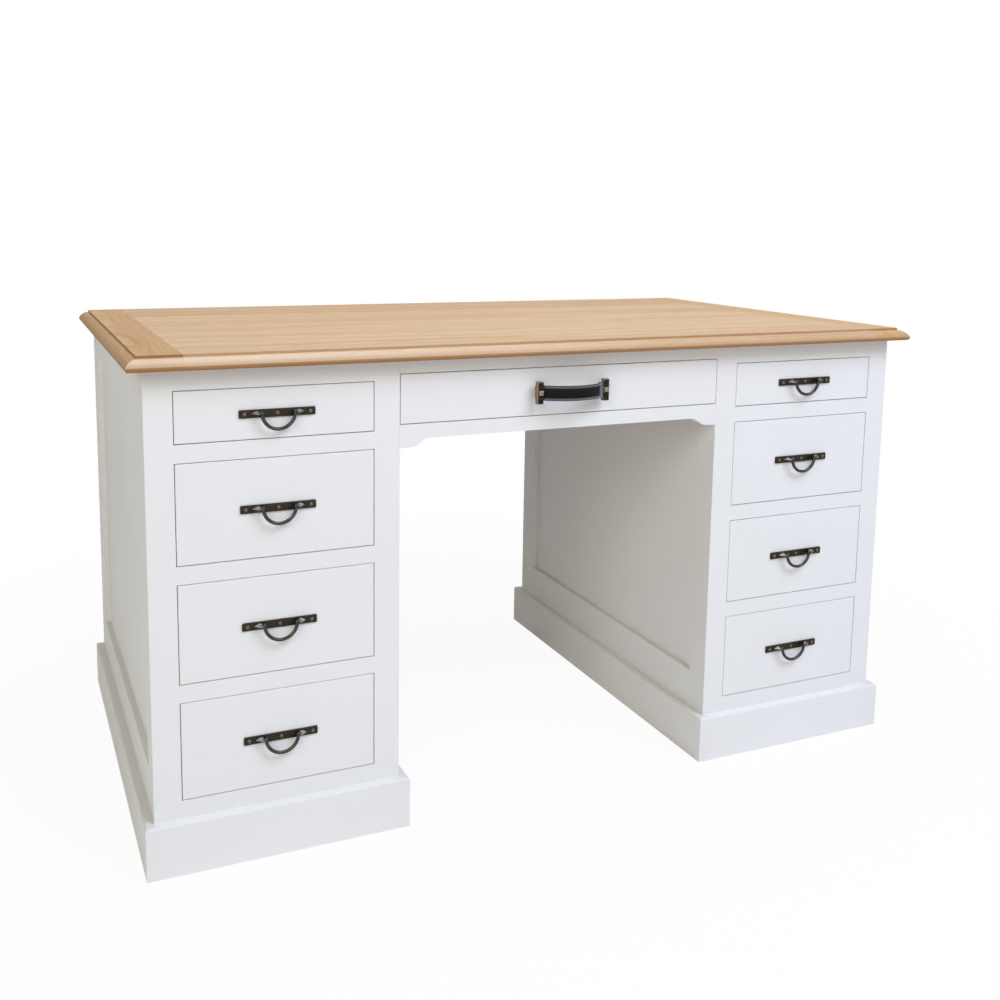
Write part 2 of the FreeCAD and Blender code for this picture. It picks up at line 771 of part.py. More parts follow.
def drawer_box(name, box_width, opening_height, length):
    """Two grooved sides, a back and a bottom, behind a front whose back face is at y = 0."""
    height = opening_height - s.box_headroom
    pieces = []
    half = box_width / 2
    groove_low = s.groove_lift - s.groove_play
    groove_high = s.groove_lift + s.box_bottom_thickness + s.groove_play
    for side, sign in (("left", -1), ("right", 1)):
        outside = half * sign
        inside = outside - s.box_side_thickness * sign
        groove_end = inside + s.groove_depth * sign
        body = doc.addObject("PartDesign::Body", "{}_{}".format(name, side))
        section = new_sketch(body, body.Name + "_section", "XZ_Plane")
        add_outline(section, [(outside, 0), (inside, 0), (inside, groove_low), (groove_end, groove_low),
                              (groove_end, groove_high), (inside, groove_high), (inside, height),
                              (outside, height)])
        pad(body, section, length, reverse=True)

        def top_edge(edge, level=height, long=length):
            return lies_at(edge, "z", level) and edge.BoundBox.YLength > number(long) / 2

        ease_edges(body, body.Name + "_round", top_edge, s.side_round)
        pieces.append(body)
    inner_width = box_width - s.box_side_thickness * 2
    pieces.append(box(name + "_back", (-inner_width / 2, length - s.box_back_thickness, groove_high),
                      (inner_width, s.box_back_thickness, height - groove_high)))
    bottom_half = inner_width / 2 + s.groove_depth - s.groove_play
    pieces.append(box(name + "_bottom",
                      (-bottom_half, s.groove_play - s.front_groove_depth, s.groove_lift),
                      (bottom_half * 2, length + s.front_groove_depth - s.groove_play,
                       s.box_bottom_thickness)))
    return pieces


def iron_plate(name):
    """The strip plate with its two ramp-shaped lugs; its back lies at y = 0, its centre at z = 0."""
    body = doc.addObject("PartDesign::Body", name + "_strip")
    half = s.plate_length / 2
    rise = s.plate_height / 2
    corner = s.plate_corner
    sketch = new_sketch(body, name + "_outline", "XZ_Plane")
    add_outline(sketch, [
        (corner - half, -rise), (half - corner, -rise), (half, corner - rise), (half, rise - corner),
        (half - corner, rise), (corner - half, rise), (-half, rise - corner), (-half, corner - rise),
    ], {1: corner, 3: corner, 5: corner, 7: corner})
    for across in screw_places():
        add_circle(sketch, across, 0, s.screw_radius + s.screw_play)
    pad(body, sketch, s.plate_thickness)

    def front_rim(edge):
        return lies_at(edge, "y", -s.plate_thickness) and not edge.isClosed()

    ease_edges(body, name + "_ease", front_rim, s.plate_ease)
    lugs = [lug(name, "left", -1), lug(name, "right", 1)]
    joined = doc.addObject("Part::MultiFuse", name)
    joined.Shapes = [body] + lugs
    return joined


def screw_places():
    """Where the pull's screws stand across the plate: the middle and both ends."""
    return [s.screw_spacing * step for step in range(-(SCREWS_PER_PULL // 2), SCREWS_PER_PULL // 2 + 1)]


def lug(name, side, sign):
    """A lug that rises from the plate towards the bail, where it holds the pintle."""
    ramp = doc.addObject("Part::Wedge", "{}_{}_ramp".format(name, side))
    # The ramp is drawn along its own Y, from the tall face by the bail to the thin tip.
    for prop, length in (("Xmin", 0), ("Xmax", s.lug_projection), ("X2min", 0),
                         ("X2max", s.lug_tip_projection), ("Ymin", 0), ("Ymax", s.lug_length),
                         ("Zmin", -s.lug_height / 2), ("Zmax", s.lug_height / 2),
                         ("Z2min", -s.lug_tip_height / 2), ("Z2max", s.lug_tip_height / 2)):
        bind(ramp, prop, length)
    turn = FreeCAD.Rotation(Vector(0, 0, 1), -90)
    if sign < 0:
        turn = FreeCAD.Rotation(Vector(1, 0, 0), 180).multiply(FreeCAD.Rotation(Vector(0, 0, 1), 90))
    place(ramp, s.lug_start * sign, -s.plate_thickness, 0, turn)
    doc.recompute()
    edges = []
    for index, edge in enumerate(ramp.Shape.Edges):
        if not lies_at(edge, "y", -s.plate_thickness):
            edges.append((index + 1, number(s.lug_ease), number(s.lug_ease)))
    rounded = doc.addObject("Part::Fillet", "{}_{}_rounded".format(name, side))
    rounded.Base = ramp
    rounded.Edges = edges
    hole = doc.addObject("Part::Cylinder", "{}_{}_pin_hole".format(name, side))
    bind(hole, "Radius", s.pintle_radius + s.pintle_play)
    bind(hole, "Height", s.pintle_length + s.pintle_play + s.bail_side_play)
    place(hole, (s.lug_start - s.bail_side_play) * sign, -s.plate_thickness - s.bail_standoff,
          s.bail_rise, FreeCAD.Rotation(Vector(0, 1, 0), 90 * sign))
    bored = doc.addObject("Part::Cut", "{}_{}_lug".format(name, side))
    bored.Base = rounded
    bored.Tool = hole
    return bored


def round_head_screw(name, length, x, y, turn=0):
    """A round-head screw whose head seats at its origin and whose shank runs along +Y."""
    head = s.screw_head_radius
    dome = s.screw_head_height
    dome_radius = (head * head + dome * dome) / (dome * 2)
    body = doc.addObject("PartDesign::Body", name)
    sketch = new_sketch(body, name + "_half", "XY_Plane")
    add_outline(sketch, [(0, -dome), (0, length), (s.screw_radius, length), (s.screw_radius, 0), (head, 0)],
                {4: -dome_radius})
    feature = body.newObject("PartDesign::Revolution", name + "_turned")
    feature.Profile = sketch
    feature.ReferenceAxis = (sketch, ["V_Axis"])
    feature.Angle = 360
    place(body, x, y, 0, turn)
    return body


def bail(name):
    """The half-round bail: its pivot line is the X axis and it hangs down from it."""
    ring = doc.addObject("Part::Torus", name + "_ring")
    bind(ring, "Radius1", s.bail_radius)
    bind(ring, "Radius2", s.bail_rod_radius)
    ring.Angle3 = 180
    place(ring, turn=FreeCAD.Rotation(Vector(1, 0, 0), -90))
    parts = [ring]
    for side, sign in (("left", -1), ("right", 1)):
        knuckle = doc.addObject("Part::Sphere", "{}_{}_knuckle".format(name, side))
        bind(knuckle, "Radius", s.knuckle_radius)
        place(knuckle, s.bail_radius * sign)
        pintle = doc.addObject("Part::Cylinder", "{}_{}_pintle".format(name, side))
        bind(pintle, "Radius", s.pintle_radius)
        bind(pintle, "Height", s.knuckle_radius + s.bail_side_play + s.pintle_length)
        place(pintle, s.bail_radius * sign, turn=FreeCAD.Rotation(Vector(0, 1, 0), 90 * sign))
        parts += [knuckle, pintle]
    joined = doc.addObject("Part::MultiFuse", name)
    joined.Shapes = parts
    return joined


FRONTS = {}
BOXES = {}
for kind, opening in (("tall", s.tall_opening), ("shallow", s.shallow_opening)):
    FRONTS[kind] = drawer_front(kind + "_front", s.drawer_opening_width, opening, s.box_width,
                                screw_places(), s.screw_length - s.plate_thickness)
    BOXES[kind] = drawer_box(kind + "_box", s.box_width, opening, s.box_length)
PLATE = iron_plate("pull_plate")
SCREWS = [round_head_screw("pull_screw_{}".format(index), s.screw_length, across, -s.plate_thickness)
          for index, across in enumerate(screw_places())]
BAIL = bail("pull_bail")

for hand, x in (("left", LEFT), ("right", RIGHT)):
    centre = x + s.pedestal_width / 2
    for level, base in enumerate(OPENING_BASES):
        kind = "shallow" if level == TALL_DRAWER_COUNT else "tall"
        count = len(OPENING_BASES) - level
        drawer = "{}_drawer_{}".format(hand, count)
        handle = "{}_pull_{}".format(hand, count)
        publish(drawer + "_front", copy_of(drawer + "_front", [FRONTS[kind]],
                                           centre, s.front_face, base + s.front_gap))
        publish(drawer + "_box", copy_of(drawer + "_box", BOXES[kind], centre,
                                         s.front_face + s.front_thickness, base + s.seat_play))
        pull_height = base + OPENING_HEIGHTS[level] / 2
        publish(handle + "_plate", copy_of(handle + "_plate", [PLATE] + SCREWS,
                                           centre, s.front_face, pull_height))
        publish(handle + "_bail", copy_of(
            handle + "_bail", [BAIL], centre,
            s.front_face - s.plate_thickness - s.bail_standoff, pull_height + s.bail_rise))


# Centre drawer with its leather strap pull: each end of the strap is a narrower tab that lies in
# a recess of a bronze bracket, and a square-headed stud holds it there.

stud_across = (s.bracket_inner_half + s.strap_half_length) / 2
foot_across = s.bracket_inner_half + s.bracket_foot_width / 2
centre_front = drawer_front("centre_drawer_front", s.kneehole_width, s.centre_opening, s.centre_box_width,
                            [-foot_across, foot_across], s.front_thickness)
place(centre_front, 0, s.front_face, s.centre_opening_base + s.front_gap)
publish("centre_drawer_front", centre_front)
centre_boards = drawer_box("centre_box", s.centre_box_width, s.centre_opening, s.centre_box_length)
publish("centre_drawer_box", copy_of(
    "centre_drawer_box", centre_boards,
    0, s.front_face + s.front_thickness, s.centre_opening_base + s.seat_play))


def strap_bracket(name, sign):
    """An upright bar on a smaller foot, with a recess in its front for the end of the strap."""
    body = doc.addObject("PartDesign::Body", name)
    low = s.bracket_inner_half if sign > 0 else -s.bracket_inner_half - s.bracket_width
    foot_low = s.bracket_inner_half if sign > 0 else -s.bracket_inner_half - s.bracket_foot_width
    bar = new_sketch(body, name + "_bar", "XZ_Plane", s.bracket_projection - s.bracket_bar_depth)
    add_rectangle(bar, low, -s.bracket_height / 2, s.bracket_width, s.bracket_height)
    pad(body, bar, s.bracket_bar_depth + s.strap_thickness)
    ease_edges(body, name + "_ease", lambda edge: not lies_at(edge, "x", s.bracket_inner_half * sign),
               s.bracket_ease)
    foot = new_sketch(body, name + "_foot", "XZ_Plane")
    add_rectangle(foot, foot_low, -s.bracket_foot_height / 2, s.bracket_foot_width, s.bracket_foot_height)
    pad(body, foot, s.bracket_projection - s.bracket_bar_depth + s.bracket_ease)
    recess = new_sketch(body, name + "_recess", "XZ_Plane", s.bracket_projection + s.strap_thickness)
    recess_low = s.bracket_inner_half - s.cut_overrun if sign > 0 else -s.strap_half_length
    recess_rise = s.tab_height / 2 + s.tab_play
    add_rectangle(recess, recess_low, -recess_rise,
                  s.strap_half_length - s.bracket_inner_half + s.cut_overrun, recess_rise * 2)
    pocket(body, recess, s.strap_thickness)
    hole = new_sketch(body, name + "_stud_hole", "XZ_Plane", s.bracket_projection)
    add_circle(hole, stud_across * sign, 0, s.stud_shank_radius + s.stud_play)
    pocket(body, hole, s.stud_shank_length + s.stud_play)
    screw_hole = new_sketch(body, name + "_screw_hole", "XZ_Plane")
    add_circle(screw_hole, foot_across * sign, 0, s.screw_radius + s.screw_play)
    pocket(body, screw_hole, s.bracket_screw_grip + s.screw_play, reverse=True)
    return body


def leather_strap(name):
    """The strap: one arch between the brackets, and a narrower tab for each bracket's recess."""
    body = doc.addObject("PartDesign::Body", name)
    back = -s.bracket_projection
    front = back - s.strap_thickness
    middle_line = s.bracket_projection + s.strap_thickness / 2
    span = s.bracket_inner_half - s.arch_set_in
    arch = (span * span + s.strap_bow * s.strap_bow) / (s.strap_bow * 2)
    centre_line = arch - s.strap_bow - middle_line
    outer = arch + s.strap_thickness / 2
    inner = arch - s.strap_thickness / 2
    outer_spring = root_of(outer * outer - (centre_line - front) * (centre_line - front))
    inner_spring = root_of(inner * inner - (centre_line - back) * (centre_line - back))
    end = s.strap_half_length - s.tab_play
    sketch = new_sketch(body, name + "_plan", "XY_Plane", -s.strap_height / 2)
    add_outline(sketch, [
        (-end, front), (-outer_spring, front), (outer_spring, front), (end, front),
        (end, back), (inner_spring, back), (-inner_spring, back), (-end, back),
    ], {1: outer, 5: -inner})
    pad(body, sketch, s.strap_height)
    right_through = (s.bracket_projection + s.strap_thickness + s.cut_overrun) * 2
    shoulder = s.bracket_inner_half - s.tab_play
    waste_width = end - shoulder + s.cut_overrun
    waste_height = (s.strap_height - s.tab_height) / 2 + s.cut_overrun
    waste = new_sketch(body, name + "_shoulders", "XZ_Plane")
    for across in (shoulder, -shoulder - waste_width):
        for up in (s.tab_height / 2, -s.tab_height / 2 - waste_height):
            add_rectangle(waste, across, up, waste_width, waste_height)
    pocket(body, waste, right_through, both_ways=True)
    holes = new_sketch(body, name + "_holes", "XZ_Plane")
    for sign in (-1, 1):
        add_circle(holes, stud_across * sign, 0, s.stud_shank_radius + s.stud_play)
    pocket(body, holes, right_through, both_ways=True)
    return body


def square_stud(name, sign):
    """A square pyramid-edged head with a round shank."""
    body = doc.addObject("PartDesign::Body", name)
    seat = s.bracket_projection + s.strap_thickness
    head = new_sketch(body, name + "_head", "XZ_Plane", seat)
    side = s.stud_width
    add_rectangle(head, stud_across * sign - side / 2, -side / 2, side, side)
    pad(body, head, s.stud_height)
    blank = body.Tip
    front = -number(seat + s.stud_height)
    names = ["Edge{}".format(index + 1) for index, edge in enumerate(blank.Shape.Edges)
             if lies_at(edge, "y", front)]
    chamfer = body.newObject("PartDesign::Chamfer", name + "_chamfer")
    chamfer.Base = (blank, names)
    bind(chamfer, "Size", s.stud_chamfer)
    doc.recompute()
    shank = new_sketch(body, name + "_shank", "XZ_Plane", seat)
    add_circle(shank, stud_across * sign, 0, s.stud_shank_radius)
    pad(body, shank, s.strap_thickness + s.stud_shank_length, reverse=True)
    return body


brackets = []
studs = []
for side, sign in (("left", -1), ("right", 1)):
    brackets.append(strap_bracket(side + "_bracket", sign))
    brackets.append(round_head_screw(side + "_bracket_screw", s.front_thickness + s.bracket_screw_grip,
                                     foot_across * sign, s.front_thickness, turn=180))
    studs.append(square_stud(side + "_stud", sign))
for name, pieces in (("strap_pull_brackets", brackets), ("strap_pull_leather", [leather_strap("strap")]),
                     ("strap_pull_studs", studs)):
    publish(name, copy_of(name, pieces, 0, s.front_face, s.centre_opening_base + s.centre_opening / 2))


doc.recompute()
for thing in doc.Objects:
    if "Invalid" in thing.State or "Error" in thing.State:
        raise RuntimeError("{} did not build: {}".format(thing.Label, thing.State))
for node in NODES:
    if node.Shape.isNull() or not node.Shape.isValid() or not node.Shape.Solids:
        raise RuntimeError("{} has no sound shape".format(node.Label))

os.makedirs("parts", exist_ok=True)
for node in NODES:
    shape = node.Shape
    shape.exportStep(os.path.join("parts", node.Label + ".step"))
    print("{:28s} solids {:2d}  volume {:12.1f}".format(node.Label, len(shape.Solids), shape.Volume))
print("nodes", len(NODES))
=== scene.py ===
import bmesh
import bpy
import math
from mathutils import Matrix, Vector


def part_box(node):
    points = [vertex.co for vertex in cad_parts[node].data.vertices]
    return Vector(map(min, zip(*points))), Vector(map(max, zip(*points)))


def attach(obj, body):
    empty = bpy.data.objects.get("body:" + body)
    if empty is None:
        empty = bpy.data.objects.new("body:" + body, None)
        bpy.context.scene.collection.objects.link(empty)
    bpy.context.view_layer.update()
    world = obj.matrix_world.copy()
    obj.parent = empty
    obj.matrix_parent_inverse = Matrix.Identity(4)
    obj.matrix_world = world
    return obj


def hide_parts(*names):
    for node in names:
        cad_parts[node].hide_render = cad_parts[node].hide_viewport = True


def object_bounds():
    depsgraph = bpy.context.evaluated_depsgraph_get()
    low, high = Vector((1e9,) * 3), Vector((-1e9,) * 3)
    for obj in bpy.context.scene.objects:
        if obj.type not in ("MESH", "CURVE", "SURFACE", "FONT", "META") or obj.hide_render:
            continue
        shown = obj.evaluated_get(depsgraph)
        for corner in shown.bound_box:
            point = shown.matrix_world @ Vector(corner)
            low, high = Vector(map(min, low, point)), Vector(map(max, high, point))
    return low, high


# A kneehole desk: white lacquered pedestals and drawers, an oak top, iron bail pulls and one
# leather strap pull. Metres, on the frame that the solids give.

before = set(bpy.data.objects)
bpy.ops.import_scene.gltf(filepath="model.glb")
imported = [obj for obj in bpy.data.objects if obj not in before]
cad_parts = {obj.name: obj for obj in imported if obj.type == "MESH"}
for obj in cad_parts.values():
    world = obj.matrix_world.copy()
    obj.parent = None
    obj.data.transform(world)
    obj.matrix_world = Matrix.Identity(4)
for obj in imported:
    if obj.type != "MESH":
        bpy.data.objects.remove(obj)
cad_low, cad_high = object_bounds()


# Lacquered carcase: face frames, panelled sides and backs, plinths, and the rails over the
# kneehole. Solid frames and flat panels, glued up, then sprayed white in a satin lacquer that
# lies smooth, softens the arrises and shows a trace of the spray's texture.

CARCASE_NODES = (
    "left_face_frame", "right_face_frame",
    "left_outer_side_frame", "left_inner_side_frame", "right_inner_side_frame",
    "right_outer_side_frame", "left_back_frame", "right_back_frame", "left_panels",
    "right_panels", "left_plinth", "right_plinth", "centre_top_rail", "centre_ogee_rail",
    "kneehole_back_apron",
)


def linear(colour):
    """An sRGB hex colour as the linear colour that a shader takes."""
    channels = []
    for start in (1, 3, 5):
        level = int(colour[start:start + 2], 16) / 255
        channels.append(level / 12.92 if level <= 0.04045 else ((level + 0.055) / 1.055) ** 2.4)
    return (*channels, 1)


def feed(material, node, inputs=None, links=None):
    """Set a node's plain inputs, and link what feeds the others."""
    for name, value in (inputs or {}).items():
        node.inputs[name].default_value = value
    for name, source in (links or {}).items():
        material.node_tree.links.new(source, node.inputs[name])


def add_node(material, kind, inputs=None, links=None, **settings):
    """Add a node with its settings, its plain inputs and what feeds the others."""
    node = material.node_tree.nodes.new(kind)
    for name, value in settings.items():
        setattr(node, name, value)
    feed(material, node, inputs, links)
    return node


def new_material(name):
    """A material with its nodes on, and only its own shader among them."""
    material = bpy.data.materials.new(name)
    material.use_nodes = True
    return material


# Satin lacquer gives a bright, even white with a broad soft sheen. The fine bump is the
# texture of sprayed lacquer, about 1.5 mm from grain to grain; the cloud is its uneven gloss.
satin_lacquer = new_material("white_satin_lacquer")
place = add_node(satin_lacquer, "ShaderNodeTexCoord")
spray = add_node(satin_lacquer, "ShaderNodeTexNoise",
                 {"Scale": 1 / 0.0015, "Detail": 2, "Roughness": 0.5},
                 {"Vector": place.outputs["Object"]})
cloud = add_node(satin_lacquer, "ShaderNodeTexNoise",
                 {"Scale": 1 / 0.18, "Detail": 3, "Roughness": 0.6},
                 {"Vector": place.outputs["Object"]})
gloss = add_node(satin_lacquer, "ShaderNodeMapRange",
                 {"From Min": 0.3, "From Max": 0.7, "To Min": 0.44, "To Max": 0.54},
                 {"Value": cloud.outputs["Fac"]})
tone = add_node(satin_lacquer, "ShaderNodeMix",
                {6: linear("#eeeeec"), 7: linear("#f2f2f1")}, {0: cloud.outputs["Fac"]},
                data_type="RGBA")
skin = add_node(satin_lacquer, "ShaderNodeBump", {"Strength": 0.12, "Distance": 0.0001},
                {"Height": spray.outputs["Fac"]})
feed(satin_lacquer, satin_lacquer.node_tree.nodes["Principled BSDF"],
     {"IOR": 1.5, "Specular IOR Level": 0.2},
     {"Base Color": tone.outputs[2], "Roughness": gloss.outputs["Result"],
      "Normal": skin.outputs["Normal"]})

for name in CARCASE_NODES:
    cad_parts[name].material_slots[0].material = satin_lacquer


# Drawers: nine slab fronts, lacquered as the carcase is, on boxes of thin pale boards whose
# bottoms slide into grooves. The boxes run on hardwood runners inside the pedestals.

HANDS = ("left", "right")
LEVELS = (1, 2, 3, 4)
drawer_fronts = ["centre_drawer_front"]
drawer_boxes = ["centre_drawer_box"]
for hand in HANDS:
    for level in LEVELS:
        drawer_fronts.append(f"{hand}_drawer_{level}_front")
        drawer_boxes.append(f"{hand}_drawer_{level}_box")
for name in drawer_fronts:
    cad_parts[name].material_slots[0].material = satin_lacquer

# Clear-finished tulipwood gives a pale straw colour with straight grain from front to back.
# The grain lines stand about 4 mm apart and run 150 mm before they fade.
drawer_wood = new_material("tulipwood_clear_finish")
place = add_node(drawer_wood, "ShaderNodeTexCoord")
along_drawer = add_node(drawer_wood, "ShaderNodeMapping",
                        {"Scale": (1 / 0.004, 1 / 0.15, 1 / 0.004)},
                        {"Vector": place.outputs["Object"]})
grain = add_node(drawer_wood, "ShaderNodeTexNoise", {"Scale": 1, "Detail": 5, "Roughness": 0.6},
                 {"Vector": along_drawer.outputs["Vector"]})
tone = add_node(drawer_wood, "ShaderNodeMix", {6: linear("#cdb083"), 7: linear("#e3cca4")},
                {0: grain.outputs["Fac"]}, data_type="RGBA")
skin = add_node(drawer_wood, "ShaderNodeBump", {"Strength": 0.25, "Distance": 0.0002},
                {"Height": grain.outputs["Fac"]})
feed(drawer_wood, drawer_wood.node_tree.nodes["Principled BSDF"], {"Roughness": 0.5, "IOR": 1.5},
     {"Base Color": tone.outputs[2], "Normal": skin.outputs["Normal"]})
for name in drawer_boxes:
    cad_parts[name].material_slots[0].material = drawer_wood

# Planed beech gives the runners, floor boards and cleats a warm, dull surface that nobody
# finished, with the same straight grain front to back.
bare_beech = new_material("planed_beech")
place = add_node(bare_beech, "ShaderNodeTexCoord")
along_runner = add_node(bare_beech, "ShaderNodeMapping",
                        {"Scale": (1 / 0.003, 1 / 0.06, 1 / 0.003)},
                        {"Vector": place.outputs["Object"]})
grain = add_node(bare_beech, "ShaderNodeTexNoise", {"Scale": 1, "Detail": 4, "Roughness": 0.65},
                 {"Vector": along_runner.outputs["Vector"]})
tone = add_node(bare_beech, "ShaderNodeMix", {6: linear("#b98f62"), 7: linear("#d5b48a")},
                {0: grain.outputs["Fac"]}, data_type="RGBA")
feed(bare_beech, bare_beech.node_tree.nodes["Principled BSDF"], {"Roughness": 0.7, "IOR": 1.5},
     {"Base Color": tone.outputs[2]})
for name in ("top_fixing_cleats", "bottom_boards", "left_drawer_runners", "right_drawer_runners",
             "centre_drawer_runners"):
    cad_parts[name].material_slots[0].material = bare_beech


# Top: solid oak boards glued edge to edge along the desk, with a breadboard end across each
# side and one moulding run round all of it. Clear satin lacquer leaves the wood honey pale.

BOARD_WIDTH = 0.098
BREADBOARD_PIECE = 0.2
GLUE_LINE = 0.0008
# growth rings: their spacing, and the spacing that a ring texture of scale 1 has
RING_SPACING = 0.0034
UNIT_RING_SPACING = 0.314
# the pith: how far aside of a board's middle, and the levels between which it lies
PITH_ASIDE = 0.05
PITH_LOWEST = 0.66
PITH_HIGHEST = 0.745
# the log: its lean, how far and over what length it wanders, and how long its figure is drawn out
LOG_LEAN = 0.04
WANDER_ASIDE = 0.014
WANDER_UP = 0.008
WANDER_LENGTH = 0.45
LOG_DRAWN_OUT = 0.06
LOG_SHIFT = 7.0
PORE_WIDTH = 0.0008
STREAK_WIDTH = 0.03
STEP_HEIGHT = 0.0038
STEP_BLEND = 0.0006
# the brown of the painted shade in the moulding's step and where the moulding turns under
PAINTED_SHADE_BROWN = "#9a6a3c"
# the pale of the painted highlight on the crest of the front moulding
CREST_HIGHLIGHT = "#f6e6d0"
top_level = cad_high.z


def oak(name, grain_axis, board_width, step_shade_strength, pale, honey, pore_brown):
    """Lacquered oak whose grain runs along x (axis 0) or y (axis 1) of the desk."""
    # Growth rings round a pith 35 to 120 mm below each board's face give the arched figure on the
    # face, straight lines on the moulding and arcs on end grain; each board has its own pith.
    material = new_material(name)
    place = add_node(material, "ShaderNodeTexCoord")
    apart = add_node(material, "ShaderNodeSeparateXYZ", links={0: place.outputs["Object"]})
    along = apart.outputs[grain_axis]
    boards = add_node(material, "ShaderNodeMath", {1: 1 / board_width},
                      {0: apart.outputs[1 - grain_axis]}, operation="MULTIPLY")
    board = add_node(material, "ShaderNodeMath", links={0: boards.outputs[0]}, operation="FLOOR")
    share = add_node(material, "ShaderNodeMath", links={0: boards.outputs[0]}, operation="FRACT")
    chance = add_node(material, "ShaderNodeTexWhiteNoise", links={"W": board.outputs[0]},
                      noise_dimensions="1D")
    chances = add_node(material, "ShaderNodeSeparateColor", links={0: chance.outputs["Color"]})
    # the board's own place across, its pith's place under it, and how the log leans and wanders
    # along it, which makes each board's arches its own
    wander_place = add_node(material, "ShaderNodeCombineXYZ", links={0: along, 1: board.outputs[0]})
    wander = add_node(material, "ShaderNodeTexNoise", {"Scale": 1 / WANDER_LENGTH, "Detail": 1.0},
                      {"Vector": wander_place.outputs[0]})
    wanders = add_node(material, "ShaderNodeSeparateColor", links={0: wander.outputs["Color"]})
    sideways, upwards = [
        add_node(material, "ShaderNodeMapRange",
                 {"From Min": 0.3, "From Max": 0.7, "To Min": -reach, "To Max": reach},
                 {"Value": wanders.outputs[number]})
        for number, reach in enumerate((WANDER_ASIDE, WANDER_UP))]
    pith_side, pith_depth, slope = [
        add_node(material, "ShaderNodeMapRange", {"To Min": least, "To Max": most},
                 {"Value": chances.outputs[number]})
        for number, (least, most) in enumerate((
            (-PITH_ASIDE, PITH_ASIDE), (-PITH_HIGHEST, -PITH_LOWEST), (-LOG_LEAN, LOG_LEAN)))]
    middle = add_node(material, "ShaderNodeMath", {1: 0.5}, {0: share.outputs[0]},
                      operation="SUBTRACT")
    off_centre = add_node(material, "ShaderNodeMath", {1: board_width},
                          {0: middle.outputs[0], 2: pith_side.outputs[0]},
                          operation="MULTIPLY_ADD")
    from_pith = add_node(material, "ShaderNodeMath",
                         links={0: off_centre.outputs[0], 1: sideways.outputs[0]}, operation="ADD")
    below = add_node(material, "ShaderNodeMath",
                     links={0: apart.outputs[2], 1: pith_depth.outputs[0]}, operation="ADD")
    leaning = add_node(material, "ShaderNodeMath",
                       links={0: along, 1: slope.outputs[0], 2: below.outputs[0]},
                       operation="MULTIPLY_ADD")
    depth = add_node(material, "ShaderNodeMath",
                     links={0: leaning.outputs[0], 1: upwards.outputs[0]}, operation="ADD")
    drawn_out = add_node(material, "ShaderNodeMath", {1: LOG_DRAWN_OUT}, {0: along},
                         operation="MULTIPLY")
    length = add_node(material, "ShaderNodeMath", {1: LOG_SHIFT},
                      {0: chances.outputs[2], 2: drawn_out.outputs[0]}, operation="MULTIPLY_ADD")
    log = add_node(material, "ShaderNodeCombineXYZ", links={
        0: length.outputs[0], 1: from_pith.outputs[0], 2: depth.outputs[0]})
    rings = add_node(material, "ShaderNodeTexWave",
                     {"Scale": UNIT_RING_SPACING / RING_SPACING, "Distortion": 3.2, "Detail": 3,
                      "Detail Scale": 0.35, "Detail Roughness": 0.55},
                     {"Vector": log.outputs[0]}, wave_type="RINGS", rings_direction="X",
                     wave_profile="SAW")
    # open pores: dark lines that run long along the board, drawn coarse so that they show
    pore_place = add_node(material, "ShaderNodeMapping",
                          {"Scale": (3.0, 1 / PORE_WIDTH, 1 / PORE_WIDTH)},
                          {"Vector": log.outputs[0]})
    pores = add_node(material, "ShaderNodeTexNoise", {"Scale": 1, "Detail": 2, "Roughness": 0.6},
                     {"Vector": pore_place.outputs[0]})
    open_pores = add_node(material, "ShaderNodeMapRange", {"From Min": 0.5, "From Max": 0.62},
                          {"Value": pores.outputs["Fac"]})
    early_wood = add_node(material, "ShaderNodeMapRange",
                          {"From Min": 0.0, "From Max": 1.0, "To Min": 1.0, "To Max": 0.15},
                          {"Value": rings.outputs["Fac"]})
    porous = add_node(material, "ShaderNodeMath",
                      links={0: open_pores.outputs[0], 1: early_wood.outputs[0]},
                      operation="MULTIPLY")
    # broad streaks about a metre long, and each board's own tone
    streak_place = add_node(material, "ShaderNodeMapping",
                            {"Scale": (16, 1 / STREAK_WIDTH, 1 / STREAK_WIDTH)},
                            {"Vector": log.outputs[0]})
    streaks = add_node(material, "ShaderNodeTexNoise",
                       {"Scale": 1, "Detail": 3, "Roughness": 0.55},
                       {"Vector": streak_place.outputs[0]})
    warmth = add_node(material, "ShaderNodeMath", {1: 0.35},
                      {0: chances.outputs[0], 2: streaks.outputs["Fac"]}, operation="MULTIPLY_ADD")
    warmth_share = add_node(material, "ShaderNodeMapRange", {"From Min": 0.42, "From Max": 0.94},
                            {"Value": warmth.outputs[0]})
    ground = add_node(material, "ShaderNodeMix", {6: linear(pale), 7: linear(honey)},
                      {0: warmth_share.outputs[0]}, data_type="RGBA")
    # the lacquer closes end grain, so the figure is faint there
    facing = add_node(material, "ShaderNodeVectorMath", links={0: place.outputs["Normal"]},
                      operation="ABSOLUTE")
    facings = add_node(material, "ShaderNodeSeparateXYZ", links={0: facing.outputs["Vector"]})
    face_grain = add_node(material, "ShaderNodeMapRange",
                          {"From Min": 0.75, "From Max": 0.25, "To Min": 0.2, "To Max": 1.0},
                          {"Value": facings.outputs[grain_axis]})
    late_wood = add_node(material, "ShaderNodeMapRange", {"To Min": 0.17, "To Max": 0.0},
                         {"Value": rings.outputs["Fac"]})
    ring_share = add_node(material, "ShaderNodeMath",
                          links={0: late_wood.outputs[0], 1: face_grain.outputs[0]},
                          operation="MULTIPLY")
    dashes = add_node(material, "ShaderNodeMath", {1: 0.4}, {0: porous.outputs[0]},
                      operation="MULTIPLY")
    pore_share = add_node(material, "ShaderNodeMath",
                          links={0: dashes.outputs[0], 1: face_grain.outputs[0]},
                          operation="MULTIPLY")
